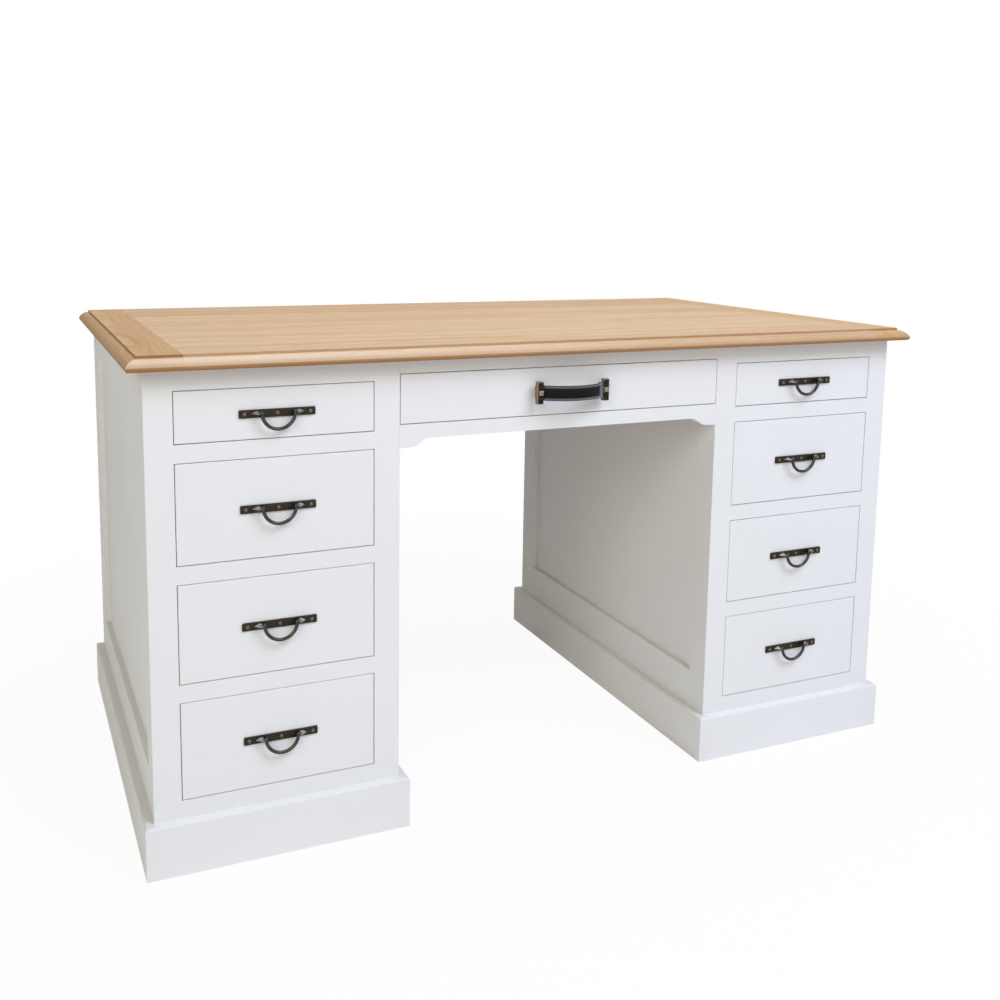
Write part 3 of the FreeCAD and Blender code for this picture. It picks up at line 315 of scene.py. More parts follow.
    # the glue line between two boards
    off_middle = add_node(material, "ShaderNodeMath", links={0: middle.outputs[0]},
                          operation="ABSOLUTE")
    glue_line = add_node(material, "ShaderNodeMath", {1: 0.5 - GLUE_LINE / 2 / board_width},
                         {0: off_middle.outputs[0]}, operation="GREATER_THAN")
    glue_share = add_node(material, "ShaderNodeMath", {1: 0.3}, {0: glue_line.outputs[0]},
                          operation="MULTIPLY")
    # painted shade in the step of the moulding, on its upright face below the flat, where lacquer
    # and dirt also gather
    step_level = top_level - STEP_HEIGHT
    level = add_node(material, "ShaderNodeMapRange",
                     {"From Min": step_level - STEP_BLEND, "From Max": step_level},
                     {"Value": apart.outputs[2]})
    upright = add_node(material, "ShaderNodeMapRange", {"From Min": 0.9, "From Max": 0.5},
                       {"Value": facings.outputs[2]})
    in_step = add_node(material, "ShaderNodeMath",
                       links={0: level.outputs[0], 1: upright.outputs[0]}, operation="MULTIPLY")
    step_shade_share = add_node(material, "ShaderNodeMath", {1: step_shade_strength}, {0: in_step.outputs[0]},
                          operation="MULTIPLY")
    # painted shade: the moulding is darker and browner where it turns under and faces down
    turned = add_node(material, "ShaderNodeSeparateXYZ", links={0: place.outputs["Normal"]})
    under = add_node(material, "ShaderNodeMapRange",
                     {"From Min": 0.9, "From Max": 0.0, "To Min": 0.0, "To Max": 0.8},
                     {"Value": turned.outputs[2]})
    below_step = add_node(material, "ShaderNodeMath", {0: 1.0}, {1: level.outputs[0]},
                          operation="SUBTRACT")
    under_shade_share = add_node(material, "ShaderNodeMath",
                           links={0: under.outputs[0], 1: below_step.outputs[0]},
                           operation="MULTIPLY")
    # painted highlight: the crest of the front moulding is painted pale where it faces up and
    # forward, most of all on the left
    upward = add_node(material, "ShaderNodeMapRange", {"From Min": 0.3, "From Max": 0.75},
                      {"Value": turned.outputs[2]})
    forward = add_node(material, "ShaderNodeMapRange",
                       {"From Min": -0.15, "From Max": -0.45, "To Min": 0.0, "To Max": 0.5},
                       {"Value": turned.outputs[1]})
    leftward = add_node(material, "ShaderNodeMapRange",
                        {"From Min": 0.45, "From Max": -0.5, "To Min": 0.0, "To Max": 1.0},
                        {"Value": apart.outputs[0]})
    crest = add_node(material, "ShaderNodeMath",
                     links={0: upward.outputs[0], 1: forward.outputs[0]}, operation="MULTIPLY")
    painted_highlight = add_node(material, "ShaderNodeMath",
                      links={0: crest.outputs[0], 1: leftward.outputs[0]}, operation="MULTIPLY")
    # each of these tints the wood in turn
    tone = ground
    for tint_share, tint in ((ring_share, pore_brown), (pore_share, pore_brown),
                             (glue_share, pore_brown), (step_shade_share, PAINTED_SHADE_BROWN),
                             (under_shade_share, PAINTED_SHADE_BROWN), (painted_highlight, CREST_HIGHLIGHT)):
        tone = add_node(material, "ShaderNodeMix", {7: linear(tint)},
                        {0: tint_share.outputs[0], 6: tone.outputs[2]}, data_type="RGBA")
    gloss = add_node(material, "ShaderNodeMapRange", {"To Min": 0.54, "To Max": 0.66},
                     {"Value": porous.outputs[0]})
    skin = add_node(material, "ShaderNodeBump", {"Strength": 0.35, "Distance": 0.0001},
                    {"Height": porous.outputs[0]}, invert=True)
    feed(material, material.node_tree.nodes["Principled BSDF"],
         {"IOR": 1.5, "Specular IOR Level": 0.19},
         {"Base Color": tone.outputs[2], "Roughness": gloss.outputs[0],
          "Normal": skin.outputs["Normal"]})
    return material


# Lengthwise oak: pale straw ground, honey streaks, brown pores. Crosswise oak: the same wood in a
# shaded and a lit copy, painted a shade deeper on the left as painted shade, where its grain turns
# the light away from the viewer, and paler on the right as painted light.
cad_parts["top_field_boards"].material_slots[0].material = oak(
    "oak_lengthwise_satin_lacquer", 0, BOARD_WIDTH, 0.3, "#dcbf99", "#c8a37a", "#8f6238")
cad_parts["top_breadboard_left"].material_slots[0].material = oak(
    "oak_crosswise_painted_shade_satin_lacquer", 1, BREADBOARD_PIECE, 0.75, "#cba577", "#ba8f5d", "#855c33")
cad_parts["top_breadboard_right"].material_slots[0].material = oak(
    "oak_crosswise_painted_light_satin_lacquer", 1, BREADBOARD_PIECE, 0.6, "#ddbb91", "#cba272", "#906338")


# Pull plates: a flat strip of black iron with two lugs raised on it like laid leaves, blunt where
# they hold the bail and drawn out to a tip. Waxed, rubbed bright where hands pass, and painted
# bright as a highlight where the raised parts face up.

PLATE_THICKNESS = 0.0025
PLATE_CORNER = 0.0015
PLATE_EASE = 0.0006
LUG_START = 0.0281
LUG_LENGTH = 0.013
LUG_HEIGHT = 0.0104
LUG_RISE = 0.01
LUG_SINK = 0.0005
# Along the lug, from the bail to the tip: the share of its length, its height and its rise.
LUG_SHARES = ((0, 0.84, 1), (0.25, 1, 0.94), (0.5, 0.9, 0.72), (0.75, 0.58, 0.4), (1, 0.16, 0.1))
LUG_RIDGE_SHARE = 0.34
BAIL_STANDOFF = 0.007
BAIL_RISE = 0.0015
PINTLE_RADIUS = 0.0015
PINTLE_PLAY = 0.00015
PINTLE_DEPTH = 0.0033
SMALL = 0.00001

plate_low, plate_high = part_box("left_pull_1_plate")
PLATE_HALF_LENGTH = (plate_high.x - plate_low.x) / 2
PLATE_HALF_HEIGHT = (plate_high.z - plate_low.z) / 2
drawer_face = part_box("left_drawer_1_front")[0].y


def set_down(add_primitive, **shape):
    """Add a primitive with nothing else selected, and keep its place in its mesh."""
    bpy.ops.object.select_all(action="DESELECT")
    add_primitive(**shape)
    bpy.ops.object.transform_apply(location=True, rotation=True, scale=True)
    return bpy.context.active_object


def block(name, low, high):
    """A cube stretched between two corners."""
    low, high = Vector(low), Vector(high)
    piece = set_down(bpy.ops.mesh.primitive_cube_add, size=1, location=(low + high) / 2,
                     scale=high - low)
    piece.name = name
    return piece


def take(piece):
    """Select one piece and nothing else."""
    bpy.ops.object.select_all(action="DESELECT")
    bpy.context.view_layer.objects.active = piece
    piece.select_set(True)


def edit(piece):
    """Open one piece for work on its mesh."""
    take(piece)
    bpy.ops.object.mode_set(mode="EDIT")


def turn_outwards(piece):
    """Turn all faces of a closed piece outwards."""
    edit(piece)
    bpy.ops.mesh.select_all(action="SELECT")
    bpy.ops.mesh.normals_make_consistent(inside=False)
    bpy.ops.object.mode_set(mode="OBJECT")


def pick(kind, wanted):
    """In edit mode, select just the corners, edges or faces that are wanted."""
    data = bpy.context.active_object.data
    bpy.ops.mesh.select_mode(type=kind)
    bpy.ops.mesh.select_all(action="DESELECT")
    mesh = bmesh.from_edit_mesh(data)
    for part in {"VERT": mesh.verts, "EDGE": mesh.edges, "FACE": mesh.faces}[kind]:
        part.select_set(wanted(part))
    bmesh.update_edit_mesh(data)


def runs_along(edge, axis):
    """Whether an edge runs along x (0), y (1) or z (2)."""
    run = edge.verts[1].co - edge.verts[0].co
    return abs(run[axis]) > 0.999 * run.length


def finish_modifiers(piece):
    """Apply every modifier of a piece, in order."""
    take(piece)
    for modifier in list(piece.modifiers):
        bpy.ops.object.modifier_apply(modifier=modifier.name)


def cut(piece, tool):
    """Cut a tool out of a piece, and throw the tool away."""
    hollow = piece.modifiers.new("cut", "BOOLEAN")
    hollow.operation = "DIFFERENCE"
    hollow.solver = "EXACT"
    hollow.object = tool
    finish_modifiers(piece)
    bpy.data.objects.remove(tool)


def joined(name, pieces):
    """Make several pieces one object."""
    bpy.ops.object.select_all(action="DESELECT")
    for piece in pieces:
        piece.select_set(True)
    bpy.context.view_layer.objects.active = pieces[0]
    bpy.ops.object.join()
    pieces[0].name = name
    return pieces[0]


def copy_to(name, piece, place, turn=(0, 0, 0)):
    """A copy of a piece with its own mesh, turned, then carried from the origin to its place."""
    take(piece)
    bpy.ops.object.duplicate(linked=False)
    copy = bpy.context.active_object
    copy.name = name
    copy.location = place
    copy.rotation_euler = turn
    bpy.ops.object.transform_apply(location=True, rotation=True, scale=True)
    return copy


def smooth(piece, degrees):
    """Shade a piece smooth, with edges kept where its faces meet at more than this angle."""
    take(piece)
    bpy.ops.object.shade_smooth_by_angle(angle=math.radians(degrees))


# The strip lies on the drawer, which is y = 0 while a pull is modelled at the origin.
strip = block("pull_plate", (-PLATE_HALF_LENGTH, -PLATE_THICKNESS, -PLATE_HALF_HEIGHT),
              (PLATE_HALF_LENGTH, 0, PLATE_HALF_HEIGHT))
edit(strip)
pick("EDGE", lambda edge: runs_along(edge, 1))
bpy.ops.mesh.bevel(offset=PLATE_CORNER, segments=4, affect="EDGES")
pick("EDGE", lambda edge: all(end.co.y < SMALL - PLATE_THICKNESS for end in edge.verts))
bpy.ops.mesh.bevel(offset=PLATE_EASE, segments=3, affect="EDGES")
bpy.ops.object.mode_set(mode="OBJECT")

# A lug is a block drawn down to its tip ring by ring, ridged, rounded and drilled for the bail.
lug = block("pull_lug", (LUG_START, -PLATE_THICKNESS - LUG_RISE, -LUG_HEIGHT / 2),
            (LUG_START + LUG_LENGTH, LUG_SINK - PLATE_THICKNESS, LUG_HEIGHT / 2))
edit(lug)
pick("EDGE", lambda edge: runs_along(edge, 0))
bpy.ops.mesh.subdivide(number_cuts=len(LUG_SHARES) - 2)
for along_share, height_share, rise_share in LUG_SHARES:
    ring = LUG_START + LUG_LENGTH * along_share
    pick("VERT", lambda corner: abs(corner.co.x - ring) < SMALL)
    bpy.ops.transform.resize(value=(1, 1, height_share), center_override=(ring, 0, 0))
    pick("VERT", lambda corner: abs(corner.co.x - ring) < SMALL and corner.co.y < -PLATE_THICKNESS)
    bpy.ops.transform.resize(value=(1, rise_share, LUG_RIDGE_SHARE),
                             center_override=(ring, -PLATE_THICKNESS, 0))
pick("EDGE", lambda edge: all(abs(end.co.x - LUG_START) < SMALL for end in edge.verts))
bpy.ops.transform.edge_crease(value=0.85)
pick("EDGE", lambda edge: all(end.co.y > -PLATE_THICKNESS for end in edge.verts))
bpy.ops.transform.edge_crease(value=1)
bpy.ops.object.mode_set(mode="OBJECT")
rounding = lug.modifiers.new("rounding", "SUBSURF")
rounding.levels = 3
rounding.render_levels = 3
finish_modifiers(lug)
bpy.ops.object.select_all(action="DESELECT")
bpy.ops.mesh.primitive_cylinder_add(
    vertices=24, radius=PINTLE_RADIUS + PINTLE_PLAY, depth=PINTLE_DEPTH * 2,
    location=(LUG_START, -PLATE_THICKNESS - BAIL_STANDOFF, BAIL_RISE),
    rotation=(0, math.radians(90), 0))
cut(lug, bpy.context.active_object)
other_lug = copy_to("other_lug", lug, (0, 0, 0))
other_lug.scale = (-1, 1, 1)
bpy.ops.object.transform_apply(location=True, rotation=True, scale=True)
turn_outwards(other_lug)
pull_plate = joined("pull_plate", [strip, lug, other_lug])
smooth(pull_plate, 40)

# Waxed iron gives a brown-black sheen, mottled every 6 mm by the wax and pitted every 0.7 mm by the
# hammer scale. What stands proud of the strip is bare grey metal on its upper side: rubbed wear,
# and a painted highlight where it faces up.
waxed_iron = new_material("waxed_black_iron")
place = add_node(waxed_iron, "ShaderNodeTexCoord")
wax = add_node(waxed_iron, "ShaderNodeTexNoise",
               {"Scale": 1 / 0.006, "Detail": 4, "Roughness": 0.6},
               {"Vector": place.outputs["Object"]})
scale_pits = add_node(waxed_iron, "ShaderNodeTexNoise",
                      {"Scale": 1 / 0.0007, "Detail": 3, "Roughness": 0.55},
                      {"Vector": place.outputs["Object"]})
facing = add_node(waxed_iron, "ShaderNodeSeparateXYZ", links={0: place.outputs["Normal"]})
apart = add_node(waxed_iron, "ShaderNodeSeparateXYZ", links={0: place.outputs["Object"]})
standing = add_node(waxed_iron, "ShaderNodeMapRange",
                    {"From Min": drawer_face - PLATE_THICKNESS - 0.0012,
                     "From Max": drawer_face - PLATE_THICKNESS - 0.003},
                    {"Value": apart.outputs[1]})
# painted highlight: the raised iron is lighter where it faces up
upper = add_node(waxed_iron, "ShaderNodeMapRange", {"From Min": 0.25, "From Max": 0.6},
                 {"Value": facing.outputs[2]})
painted_highlight = add_node(waxed_iron, "ShaderNodeMath", links={0: standing.outputs[0], 1: upper.outputs[0]},
                  operation="MULTIPLY")
patchy = add_node(waxed_iron, "ShaderNodeMapRange",
                  {"From Min": 0.35, "From Max": 0.55, "To Min": 0.55, "To Max": 1.0},
                  {"Value": wax.outputs["Fac"]})
bare_and_highlight = add_node(waxed_iron, "ShaderNodeMath", links={0: painted_highlight.outputs[0], 1: patchy.outputs[0]},
                operation="MULTIPLY")
waxed = add_node(waxed_iron, "ShaderNodeMix", {6: linear("#2b2724"), 7: linear("#46403a")},
                 {0: wax.outputs["Fac"]}, data_type="RGBA")
tone = add_node(waxed_iron, "ShaderNodeMix", {7: linear("#a9a7a3")},
                {0: bare_and_highlight.outputs[0], 6: waxed.outputs[2]}, data_type="RGBA")
gloss = add_node(waxed_iron, "ShaderNodeMapRange",
                 {"From Min": 0.3, "From Max": 0.7, "To Min": 0.38, "To Max": 0.52},
                 {"Value": wax.outputs["Fac"]})
skin = add_node(waxed_iron, "ShaderNodeBump", {"Strength": 0.3, "Distance": 0.0002},
                {"Height": scale_pits.outputs["Fac"]})
feed(waxed_iron, waxed_iron.node_tree.nodes["Principled BSDF"], {"Metallic": 1},
     {"Base Color": tone.outputs[2], "Roughness": gloss.outputs[0],
      "Normal": skin.outputs["Normal"]})
pull_plate.data.materials.append(waxed_iron)

pull_places = {}
for hand in HANDS:
    for level in LEVELS:
        low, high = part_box(f"{hand}_pull_{level}_plate")
        pull_places[hand, level] = Vector(((low.x + high.x) / 2, drawer_face, (low.z + high.z) / 2))
        plate = copy_to(f"{hand}_pull_{level}_strip", pull_plate, pull_places[hand, level])
        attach(plate, f"{hand}_drawer_{level}")
        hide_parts(f"{hand}_pull_{level}_plate")
bpy.data.objects.remove(pull_plate)


# Pull screws: three round-head brass wood screws through each strip into the drawer front, their
# slots left at whatever angle they came tight.

SCREWS_APART = 0.049
HEAD_RADIUS = 0.003
HEAD_HEIGHT = 0.002
HEAD_ROUNDING = 0.0017
SHANK_RADIUS = 0.0016
SHANK_LENGTH = 0.014
SLOT_WIDTH = 0.0007
SLOT_DEPTH = 0.0009


def round_head_screw(name, shank_length):
    """A slotted screw whose head seats on y = 0 and faces -y, with its shank along +y."""
    screw = set_down(bpy.ops.mesh.primitive_cylinder_add, vertices=24, radius=HEAD_RADIUS,
                     depth=HEAD_HEIGHT, location=(0, -HEAD_HEIGHT / 2, 0),
                     rotation=(math.radians(90), 0, 0))
    edit(screw)
    pick("EDGE", lambda edge: all(end.co.y < SMALL - HEAD_HEIGHT for end in edge.verts))
    bpy.ops.mesh.bevel(offset=HEAD_ROUNDING, segments=5, affect="EDGES")
    pick("FACE", lambda face: face.normal.y > 0.99)
    bpy.ops.mesh.inset(thickness=HEAD_RADIUS - SHANK_RADIUS)
    bpy.ops.mesh.extrude_region_move(TRANSFORM_OT_translate={"value": (0, shank_length, 0)})
    bpy.ops.mesh.extrude_region_move(TRANSFORM_OT_translate={"value": (0, SHANK_RADIUS, 0)})
    bpy.ops.transform.resize(value=(0.1, 1, 0.1), center_override=(0, shank_length, 0))
    bpy.ops.object.mode_set(mode="OBJECT")
    cut(screw, block("slot", (-HEAD_RADIUS, -HEAD_HEIGHT * 2, -SLOT_WIDTH / 2),
                     (HEAD_RADIUS, SLOT_DEPTH - HEAD_HEIGHT, SLOT_WIDTH / 2)))
    smooth(screw, 35)
    screw.name = name
    return screw


# Old brass is dull gold, mottled brown every 1.5 mm where polish and dirt have stayed.
old_brass = new_material("tarnished_brass")
place = add_node(old_brass, "ShaderNodeTexCoord")
tarnish = add_node(old_brass, "ShaderNodeTexNoise", {"Scale": 1 / 0.0015, "Detail": 3},
                   {"Vector": place.outputs["Object"]})
tone = add_node(old_brass, "ShaderNodeMix", {6: linear("#8c7859"), 7: linear("#60503c")},
                {0: tarnish.outputs["Fac"]}, data_type="RGBA")
skin = add_node(old_brass, "ShaderNodeBump", {"Strength": 0.2, "Distance": 0.0001},
                {"Height": tarnish.outputs["Fac"]})
feed(old_brass, old_brass.node_tree.nodes["Principled BSDF"], {"Metallic": 1, "Roughness": 0.35},
     {"Base Color": tone.outputs[2], "Normal": skin.outputs["Normal"]})

pull_screw = round_head_screw("pull_screw", SHANK_LENGTH)
pull_screw.data.materials.append(old_brass)
turned = 0
for (hand, level), pull_place in pull_places.items():
    screws = []
    for step in (-1, 0, 1):
        turned += math.radians(67)
        screws.append(copy_to("pull_screw_copy", pull_screw,
                              pull_place + Vector((SCREWS_APART * step, -PLATE_THICKNESS, 0)),
                              (0, turned, 0)))
    screws = joined(f"{hand}_pull_{level}_screws", screws)
    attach(screws, f"{hand}_drawer_{level}")
    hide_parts(f"{hand}_pull_{level}_plate")
bpy.data.objects.remove(pull_screw)


# Bails: half rings of round iron rod with a ball turned at each end and a pintle that swings in
# the lug. The same waxed iron, lighter where fingers hook it.

BAIL_RADIUS = 0.0247
ROD_RADIUS = 0.0027
KNUCKLE_RADIUS = 0.003
PINTLE_REACH = 0.0064

rod = set_down(bpy.ops.mesh.primitive_torus_add, major_radius=BAIL_RADIUS, minor_radius=ROD_RADIUS,
               major_segments=80, minor_segments=20, rotation=(math.radians(90), 0, 0))
edit(rod)
bpy.ops.mesh.select_all(action="SELECT")
bpy.ops.mesh.bisect(plane_co=(0, 0, 0), plane_no=(0, 0, 1), use_fill=True, clear_outer=True)
bpy.ops.object.mode_set(mode="OBJECT")
bail_pieces = [rod]
for sign in (-1, 1):
    bail_pieces.append(set_down(
        bpy.ops.mesh.primitive_uv_sphere_add, segments=24, ring_count=14, radius=KNUCKLE_RADIUS,
        location=(BAIL_RADIUS * sign, 0, 0), rotation=(0, math.radians(90), 0)))
    bail_pieces.append(set_down(
        bpy.ops.mesh.primitive_cylinder_add, vertices=20, radius=PINTLE_RADIUS, depth=PINTLE_REACH,
        location=((BAIL_RADIUS + PINTLE_REACH / 2) * sign, 0, 0),
        rotation=(0, math.radians(90), 0)))
pull_bail = joined("pull_bail", bail_pieces)
smooth(pull_bail, 40)

# Handled iron is the waxed iron a little lighter and browner, with finer mottling.
handled_iron = new_material("handled_waxed_iron")
place = add_node(handled_iron, "ShaderNodeTexCoord")
wax = add_node(handled_iron, "ShaderNodeTexNoise",
               {"Scale": 1 / 0.004, "Detail": 4, "Roughness": 0.6},
               {"Vector": place.outputs["Object"]})
tone = add_node(handled_iron, "ShaderNodeMix", {6: linear("#363331"), 7: linear("#595450")},
                {0: wax.outputs["Fac"]}, data_type="RGBA")
skin = add_node(handled_iron, "ShaderNodeBump", {"Strength": 0.15, "Distance": 0.0002},
                {"Height": wax.outputs["Fac"]})
feed(handled_iron, handled_iron.node_tree.nodes["Principled BSDF"],
     {"Metallic": 1, "Roughness": 0.3},
     {"Base Color": tone.outputs[2], "Normal": skin.outputs["Normal"]})
pull_bail.data.materials.append(handled_iron)

for (hand, level), pull_place in pull_places.items():
    ring = copy_to(f"{hand}_pull_{level}_ring", pull_bail,
                   pull_place + Vector((0, -PLATE_THICKNESS - BAIL_STANDOFF, BAIL_RISE)))
    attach(ring, f"{hand}_bail_{level}")
    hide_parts(f"{hand}_pull_{level}_bail")
bpy.data.objects.remove(pull_bail)


# Strap pull: a strip of black bridle leather bowed between two bronze brackets. A filled panel of
# smooth leather runs down its middle, and its grey border is stitched along both edges.

STRAP_THICKNESS = 0.0035
PANEL_THICKNESS = 0.0011
PANEL_SINK = 0.0003
PANEL_HEIGHT = 0.0145
PANEL_END_MARGIN = 0.0015
STRAP_BOW = 0.02
STRAP_HALF_SPAN = 0.054
STRAP_BEND = 0.003
STRAP_EASE = 0.0005
BRACKET_PROJECTION = 0.015
TAB_HEIGHT = 0.0186
TAB_SHOULDER = 0.0552
ARC_STEPS = 36
BEND_STEPS = 8
# painted sheen: where it starts along the strap's right end, and over what length it fades in
SHEEN_START = 0.0428
SHEEN_FADE = 0.0014
STITCH_PITCH = 0.0033
STITCH_LENGTH = 0.003
STITCH_RADIUS = 0.0004
STITCH_SLANT = math.radians(68)
STITCH_FROM_EDGE = 0.0024

strap_low, strap_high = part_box("strap_pull_leather")
strap_height = strap_high.z - strap_low.z
strap_level = (strap_low.z + strap_high.z) / 2
tab_line = drawer_face - BRACKET_PROJECTION - STRAP_THICKNESS / 2
arc_radius = (STRAP_HALF_SPAN ** 2 + STRAP_BOW ** 2) / (STRAP_BOW * 2)
arc_centre = Vector((0, tab_line - STRAP_BOW + arc_radius, strap_level))
# The arc ends where a small bend the other way leaves the strap lying straight in its bracket.
bend_reach = arc_radius + STRAP_BEND
arc_turn = math.acos((arc_centre.y - tab_line + STRAP_BEND) / bend_reach)
bend_centre = arc_centre + Vector((math.sin(arc_turn), -math.cos(arc_turn), 0)) * bend_reach


def bowed_strip(name, front, thickness, height, shoulder_height, reach):
    """A strip that follows the bowed strap: spun from the middle, bent, run out and mirrored."""
    bpy.ops.object.select_all(action="DESELECT")
    bpy.ops.mesh.primitive_plane_add(size=1, location=(0, front + thickness / 2, strap_level),
                                     rotation=(0, math.radians(90), 0))
    strip = bpy.context.active_object
    strip.scale = (height, thickness, 1)
    bpy.ops.object.transform_apply(location=True, rotation=True, scale=True)
    edit(strip)
    bpy.ops.mesh.select_all(action="SELECT")
    bpy.ops.mesh.spin(steps=ARC_STEPS, angle=-arc_turn, center=arc_centre, axis=(0, 0, 1))
    bpy.ops.mesh.spin(steps=BEND_STEPS, angle=arc_turn, center=bend_centre, axis=(0, 0, 1))
    bpy.ops.mesh.extrude_region_move(
        TRANSFORM_OT_translate={"value": (TAB_SHOULDER - bend_centre.x, 0, 0)})
    if shoulder_height < height:
        bpy.ops.mesh.extrude_region_move(TRANSFORM_OT_translate={"value": (0, 0, 0)})
        bpy.ops.transform.resize(value=(1, 1, shoulder_height / height),
                                 center_override=(TAB_SHOULDER, tab_line, strap_level))
    bpy.ops.mesh.extrude_region_move(
        TRANSFORM_OT_translate={"value": (reach - TAB_SHOULDER, 0, 0)})
    pick("FACE", lambda face: all(abs(corner.co.x) < SMALL for corner in face.verts))
    bpy.ops.mesh.delete(type="ONLY_FACE")
    bpy.ops.object.mode_set(mode="OBJECT")
    strip.name = name
    mirror = strip.modifiers.new("other_half", "MIRROR")
    mirror.use_axis = (True, False, False)
    easing = strip.modifiers.new("easing", "BEVEL")
    easing.width = STRAP_EASE
    easing.segments = 3
    easing.limit_method = "ANGLE"
    easing.angle_limit = math.radians(40)
    finish_modifiers(strip)
    turn_outwards(strip)
    smooth(strip, 50)
    return strip


strap_front = strap_low.y
border = bowed_strip("strap_pull_border", strap_front + PANEL_THICKNESS,
                     STRAP_THICKNESS - PANEL_THICKNESS, strap_height, TAB_HEIGHT, strap_high.x)
panel = bowed_strip("strap_pull_panel", strap_front, PANEL_THICKNESS + PANEL_SINK,
                    PANEL_HEIGHT, PANEL_HEIGHT, strap_high.x - PANEL_END_MARGIN)

# Bridle leather gives a fine pebble, 0.6 mm from grain to grain, and a low waxy gloss that dulls in
# patches where it is handled. The border is the same hide, skived and left grey. Near its right end
# the strap is painted a lighter, bluish grey as a painted sheen.
for piece, dark, light, sheen_grey, sheen, name in (
        (border, "#262525", "#3c3b3a", "#5a5d60", 0.3, "grey_edge_leather"),
        (panel, "#0b0a0a", "#151312", "#6c7074", 0.12, "black_bridle_leather")):
    leather = new_material(name)
    place = add_node(leather, "ShaderNodeTexCoord")
    grain = add_node(leather, "ShaderNodeTexVoronoi", {"Scale": 1 / 0.0006, "Randomness": 1},
                     {"Vector": place.outputs["Object"]})
    creases = add_node(leather, "ShaderNodeTexNoise",
                       {"Scale": 1 / 0.004, "Detail": 5, "Roughness": 0.65},
                       {"Vector": place.outputs["Object"]})
    tone = add_node(leather, "ShaderNodeMix", {6: linear(dark), 7: linear(light)},
                    {0: creases.outputs["Fac"]}, data_type="RGBA")
    apart = add_node(leather, "ShaderNodeSeparateXYZ", links={0: place.outputs["Object"]})
    # painted sheen: a lighter grey band on the right end, short of the bracket's tab
    from_middle = add_node(leather, "ShaderNodeMapRange",
                           {"From Min": SHEEN_START, "From Max": SHEEN_START + SHEEN_FADE},
                           {"Value": apart.outputs[0]})
    short_of_tab = add_node(leather, "ShaderNodeMapRange",
                            {"From Min": TAB_SHOULDER, "From Max": TAB_SHOULDER - SHEEN_FADE},
                            {"Value": apart.outputs[0]})
    painted_sheen_share = add_node(leather, "ShaderNodeMath", links={0: from_middle.outputs["Result"],
                                                             1: short_of_tab.outputs["Result"]},
                           operation="MULTIPLY")
    wear_and_sheen = add_node(leather, "ShaderNodeMix", {7: linear(sheen_grey)},
                    {0: painted_sheen_share.outputs[0], 6: tone.outputs[2]}, data_type="RGBA")
    gloss = add_node(leather, "ShaderNodeMapRange",
                     {"From Min": 0.3, "From Max": 0.7, "To Min": 0.45, "To Max": 0.62},
                     {"Value": creases.outputs["Fac"]})
    pebble = add_node(leather, "ShaderNodeBump", {"Strength": 0.35, "Distance": 0.0001},
                      {"Height": grain.outputs["Distance"]})
    skin = add_node(leather, "ShaderNodeBump", {"Strength": 0.3, "Distance": 0.0003},
                    {"Height": creases.outputs["Fac"], "Normal": pebble.outputs["Normal"]})
    feed(leather, leather.node_tree.nodes["Principled BSDF"],
         {"IOR": 1.5, "Specular IOR Level": sheen},
         {"Base Color": wear_and_sheen.outputs[2], "Roughness": gloss.outputs["Result"],
          "Normal": skin.outputs["Normal"]})
    piece.data.materials.append(leather)
    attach(piece, "centre_drawer")
    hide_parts("strap_pull_leather")

# Linen thread, waxed and grey with wear: each stitch lies in the border, steeply aslant.
linen_thread = new_material("waxed_linen_thread")
place = add_node(linen_thread, "ShaderNodeTexCoord")
strands = add_node(linen_thread, "ShaderNodeTexNoise", {"Scale": 1 / 0.0003, "Detail": 2},
                   {"Vector": place.outputs["Object"]})
tone = add_node(linen_thread, "ShaderNodeMix", {6: linear("#b4b1aa"), 7: linear("#d8d5ce")},
                {0: strands.outputs["Fac"]}, data_type="RGBA")
feed(linen_thread, linen_thread.node_tree.nodes["Principled BSDF"], {"Roughness": 0.7},
     {"Base Color": tone.outputs[2]})

stitch = set_down(bpy.ops.mesh.primitive_uv_sphere_add, segments=8, ring_count=6,
                  radius=STITCH_RADIUS, rotation=(0, math.radians(90), 0))
edit(stitch)
bpy.ops.mesh.select_all(action="SELECT")
bpy.ops.transform.resize(value=(STITCH_LENGTH / (STITCH_RADIUS * 2), 1, 1))
bpy.ops.object.mode_set(mode="OBJECT")
stitch_radius = arc_centre.y - strap_front - PANEL_THICKNESS
stitch_count = 2 * int(arc_turn * stitch_radius / STITCH_PITCH) + 1
stitches = []
for row in (-1, 1):
    rise = (strap_height / 2 - STITCH_FROM_EDGE) * row
    for number in range(stitch_count):
        turn = (number - (stitch_count - 1) / 2) * STITCH_PITCH / stitch_radius
        seat = arc_centre + Vector((math.sin(turn) * stitch_radius,
                                    -math.cos(turn) * stitch_radius, rise))
        stitches.append(copy_to("stitch", stitch, seat, (0, STITCH_SLANT * row, turn)))
bpy.data.objects.remove(stitch)
stitching = joined("strap_pull_stitching", stitches)
smooth(stitching, 60)
stitching.data.materials.append(linen_thread)
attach(stitching, "centre_drawer")
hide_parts("strap_pull_leather")

